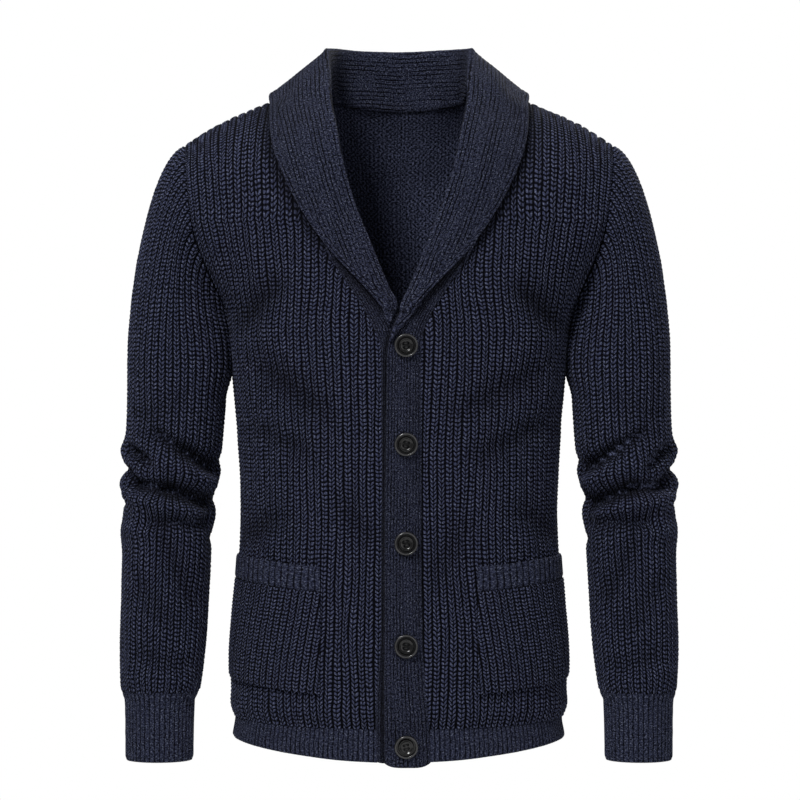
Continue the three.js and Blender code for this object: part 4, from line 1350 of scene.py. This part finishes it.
class KnitNodes(Nodes):
    """Nodes of a knitted cloth, over which u counts the wales and v the stitches."""

    def __init__(self, name):
        super().__init__(name)
        self.uv = self.add("UVMap", uv_map="knit").outputs[0]
        split = self.add("SeparateXYZ")
        self.feed(split.inputs[0], self.uv)
        self.u = Value(self, split.outputs[0])
        self.v = Value(self, split.outputs[1])

    def spots(self, across, along, rough=0.55):
        """Noise with so many spots to a wale and so many to a stitch."""
        scaled = self.add("Mapping")
        self.feed(scaled.inputs["Vector"], self.uv)
        scaled.inputs["Scale"].default_value = (across, along, 1)
        return self.noise(scaled.outputs[0], 1.0, 2.0, rough)

    def sway(self, spots, width):
        """The spots as a shift to either side, over a width in all."""
        return (spots - 0.5) * width

    def off_middle(self, across):
        """0 in the middle of a wale and 1 at its sides."""
        return self.number("ABSOLUTE", self.number("FRACT", across) - 0.5) * 2

    def wave(self, turns):
        """A cosine wave from 0 to 1, once a turn."""
        return self.number("COSINE", turns * (2 * math.pi)) * 0.5 + 0.5

    def yarn(self, height, flecks, distance, tones):
        """Colour from the yarn's marl and from painted shade: low parts of the stitch and the depth
        of the fold it lies in darken it; with fuzz in the bump and a matt finish."""
        dark, middle, pale = tones
        height = self.number("ADD", height, 0.0, clamp=True)
        # painted shade from the depth attribute: darker in fold valleys, beside the collar's leaf and along
        # the band's edge
        shade = 1 - self.attribute("depth") * 0.78
        # painted shade: low parts of each stitch are mixed towards the shade tone, and the pale marl shows
        # only on raised parts
        body = self.mix(self.ramp(height, 0.10, 0.80) * shade, dark, middle)
        marl = self.ramp(flecks, 0.48, 0.70) * self.ramp(height, 0.35, 0.8) * shade
        fuzz = self.noise(self.place(), 1400, 3.0, 0.6)
        normal = self.bump(height + fuzz * 0.35, distance)
        return self.finish(self.mix(marl, body, pale), 0.92, Normal=normal, Specular_IOR_Level=0.04,
                           Sheen_Weight=0.012, Sheen_Roughness=0.5)


def body_material():
    """Half cardigan rib: steep strands that meet as stacked V shapes, with painted shade in the slits
    between them, in a line down the middle of each wale and in a groove beside it."""
    n = KnitNodes("body_knit")
    off = n.off_middle(n.u + n.sway(n.spots(0.9, 0.35), 0.22))
    drift = n.sway(n.spots(1.3, 0.12), 2.2) + n.sway(n.noise(n.uv, 1.1), 0.5)
    strand = n.ramp(n.wave(n.v - off * STRAND_SLOPE + drift), 0.08, 0.78)
    groove = n.ramp(off, 0.94, 0.56)
    slit = 1 - n.ramp(off, 0.33, 0.02) * 0.7
    grain = n.ramp(n.spots(5.0, 2.4, 0.6), 0.3, 0.6)
    height = groove * (strand * 0.8 + 0.2) * slit * (grain * 0.4 + 0.68)
    return n.yarn(height, n.spots(6.5, 3.3, 0.6), 0.0011, (PAINTED_SHADE, YARN, PALE))


def reverse_material():
    """Reverse of the body rib: rows of small uneven purl bumps with painted shade between them, crossed by
    faint wales.
    """
    n = KnitNodes("body_knit_reverse")
    row = n.v * 0.8 + n.sway(n.noise(n.uv, 1.4), 0.96)
    rise = (n.wave(row + n.u * 1.5) + n.wave(row - n.u * 1.5)) * 0.5
    wales = n.wave(n.u * 2) * 0.3 + 0.7
    speck = n.ramp(n.spots(4.4, 2.4, 0.5), 0.36, 0.62)
    height = wales * (rise * 0.45 + 0.4) * (speck * 0.7 + 0.35)
    return n.yarn(height, n.spots(6.5, 3.3, 0.6), 0.0012, (PAINTED_SHADE, REVERSE_YARN, PALE))


def rib_material(name, ply, groove_depth, patchy, grainy, tones):
    """Close rib: narrow grooves, darkened with painted shade, between ridges of small stitches, broken up by
    the yarn's grain.
    """
    n = KnitNodes(name)
    off = n.off_middle(n.u + n.sway(n.spots(0.7, 0.2), 0.5))
    strand = n.wave(n.v - off * 0.7 + n.sway(n.noise(n.uv, 0.9), 2.4))
    patch = n.ramp(n.spots(0.32, 0.05), 0.36, 0.6) * patchy + (1 - patchy)
    groove = 1 - (1 - n.ramp(off, 1.0, 0.55)) * patch * groove_depth
    grain = n.ramp(n.spots(2.6, 1.2, 0.7), 0.36, 0.6)
    height = groove * (strand * ply + (1 - ply)) * (grain * grainy + (1.14 - grainy))
    return n.yarn(height, n.spots(3.4, 1.6, 0.65), 0.0012, tones)


def button_material():
    """Dark polished horn, with a painted highlight: a lighter tone on the tops of its two rims."""
    n = Nodes("button_polish")
    tone = n.mix(n.noise(n.place(), 260), (0.0014, 0.0014, 0.0016, 1), (0.004, 0.004, 0.004, 1))
    # painted highlight: a lighter tone on the rims' tops
    colour = n.mix(n.attribute("rim_highlight"), tone, (0.022, 0.022, 0.023, 1))
    return n.finish(colour, 0.22, Specular_IOR_Level=0.38)


# Pieces: each gets its materials and hangs from the root, and its part from model.glb is hidden

fine_rib = rib_material("fine_rib", 0.45, 0.9, 0.7, 0.9, FINE_TONES)
welt_rib = rib_material("welt_rib", 0.5, 0.68, 0.0, 0.7, WELT_TONES)
# Materials of a slot: outer face and reverse, or a button and its thread
looks = {
    "body_knit": (body_material(), reverse_material()),
    "fine_rib": (fine_rib, fine_rib),
    "welt_rib": (welt_rib, welt_rib),
    "button": (button_material(), Nodes("button_thread").finish(THREAD, 0.6, Specular_IOR_Level=0.3)),
}


def dress(obj, node, slot):
    for look in looks[slot]:
        obj.data.materials.append(look)
    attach(obj, "root")
    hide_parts(node)


dress(back_panel(), "back_panel", "body_knit")
dress(hem_rib("back_hem_knit", "back"), "back_hem_rib", "welt_rib")
for flank in ("right", "left"):
    dress(front_panel(flank), f"{flank}_front", "body_knit")
    welt = hem_rib(f"{flank}_front_hem_knit", "front", flank)
    dress(welt, f"{flank}_front_hem_rib", "welt_rib")
    dress(sleeve(flank), f"{flank}_sleeve", "body_knit")
    dress(cuff(flank), f"{flank}_cuff_rib", "welt_rib")
    dress(pocket_piece(flank), f"{flank}_pocket", "body_knit")
    dress(pocket_piece(flank, rib=True), f"{flank}_pocket_rib", "welt_rib")
under = band_shell("button_band_knit", under_seam, under_free, -698, under_lift, 2, 2.6)
over = band_shell("buttonhole_band_knit", over_free, over_seam, -702, over_lift, 5, 1.7)
dress(under, "button_band", "fine_rib")
dress(over, "buttonhole_band", "fine_rib")
dress(shawl_collar(), "shawl_collar", "fine_rib")
for i, button in enumerate(buttons()):
    dress(button, f"button_{i + 1}", "button")


# Floor, camera and light

FLOOR_Z = -1250
FLOOR_RADIUS = 3000


def floor_disc():
    """A flat disc as one polygon, its places at radius (cos(turn), sin(turn)) on one level."""
    turn = np.arange(96) / 96 * 2 * math.pi
    x, y = FLOOR_RADIUS * np.cos(turn), FLOOR_RADIUS * np.sin(turn)
    return np.stack(np.broadcast_arrays(x, y, FLOOR_Z), -1), [np.arange(96)[None]]


floor = make_piece("floor", *floor_disc())
floor.data.materials.append(Nodes("studio_floor").finish((0.8, 0.8, 0.8, 1), 0.85))

camera_data = bpy.data.cameras.new("camera")
camera_data.sensor_width = SENSOR
camera_data.lens = SENSOR * VIEW_DISTANCE / VIEW_WIDTH
camera = bpy.data.objects.new("camera", camera_data)
camera.location = (VIEW_SIDE, -VIEW_DISTANCE, VIEW_HEIGHT)
camera.rotation_euler = (QUARTER, 0, 0)
bpy.context.scene.collection.objects.link(camera)
bpy.context.scene.camera = camera


def area_light(name, place, aim, size, power):
    """A round soft light that faces the point it is aimed at."""
    data = bpy.data.lights.new(name, "AREA")
    data.shape = "DISK"
    data.size = size
    data.energy = power
    lamp = bpy.data.objects.new(name, data)
    lamp.location = place
    way = Vector(aim) - Vector(place)
    lamp.rotation_euler = way.to_track_quat("-Z", "Y").to_euler()
    bpy.context.scene.collection.objects.link(lamp)


area_light("key", (-1.1, -2.3, 1.9), (0, 0, -0.35), 0.8, 120)
area_light("fill", (1.9, -2.4, 0.3), (0, 0, -0.35), 2.8, 24)
area_light("top", (0, 0.4, 2.2), (0, 0, -0.3), 1.4, 26)
area_light("back", (1.3, 2.4, 1.2), (0, 0, -0.35), 1.4, 60)

world = bpy.data.worlds.new("studio")
bpy.context.scene.world = world
world.use_nodes = True
tree = world.node_tree
backdrop = tree.nodes["Background"]
backdrop.inputs["Color"].default_value = (1, 1, 1, 1)
backdrop.inputs["Strength"].default_value = 1.0
surround = tree.nodes.new("ShaderNodeBackground")
surround.inputs["Color"].default_value = (0.95, 0.97, 1, 1)
surround.inputs["Strength"].default_value = 0.30
rays = tree.nodes.new("ShaderNodeLightPath")
choose = tree.nodes.new("ShaderNodeMixShader")
tree.links.new(rays.outputs["Is Camera Ray"], choose.inputs[0])
tree.links.new(surround.outputs[0], choose.inputs[1])
tree.links.new(backdrop.outputs[0], choose.inputs[2])
tree.links.new(choose.outputs[0], tree.nodes["World Output"].inputs["Surface"])
bpy.context.scene.view_settings.view_transform = "Standard"
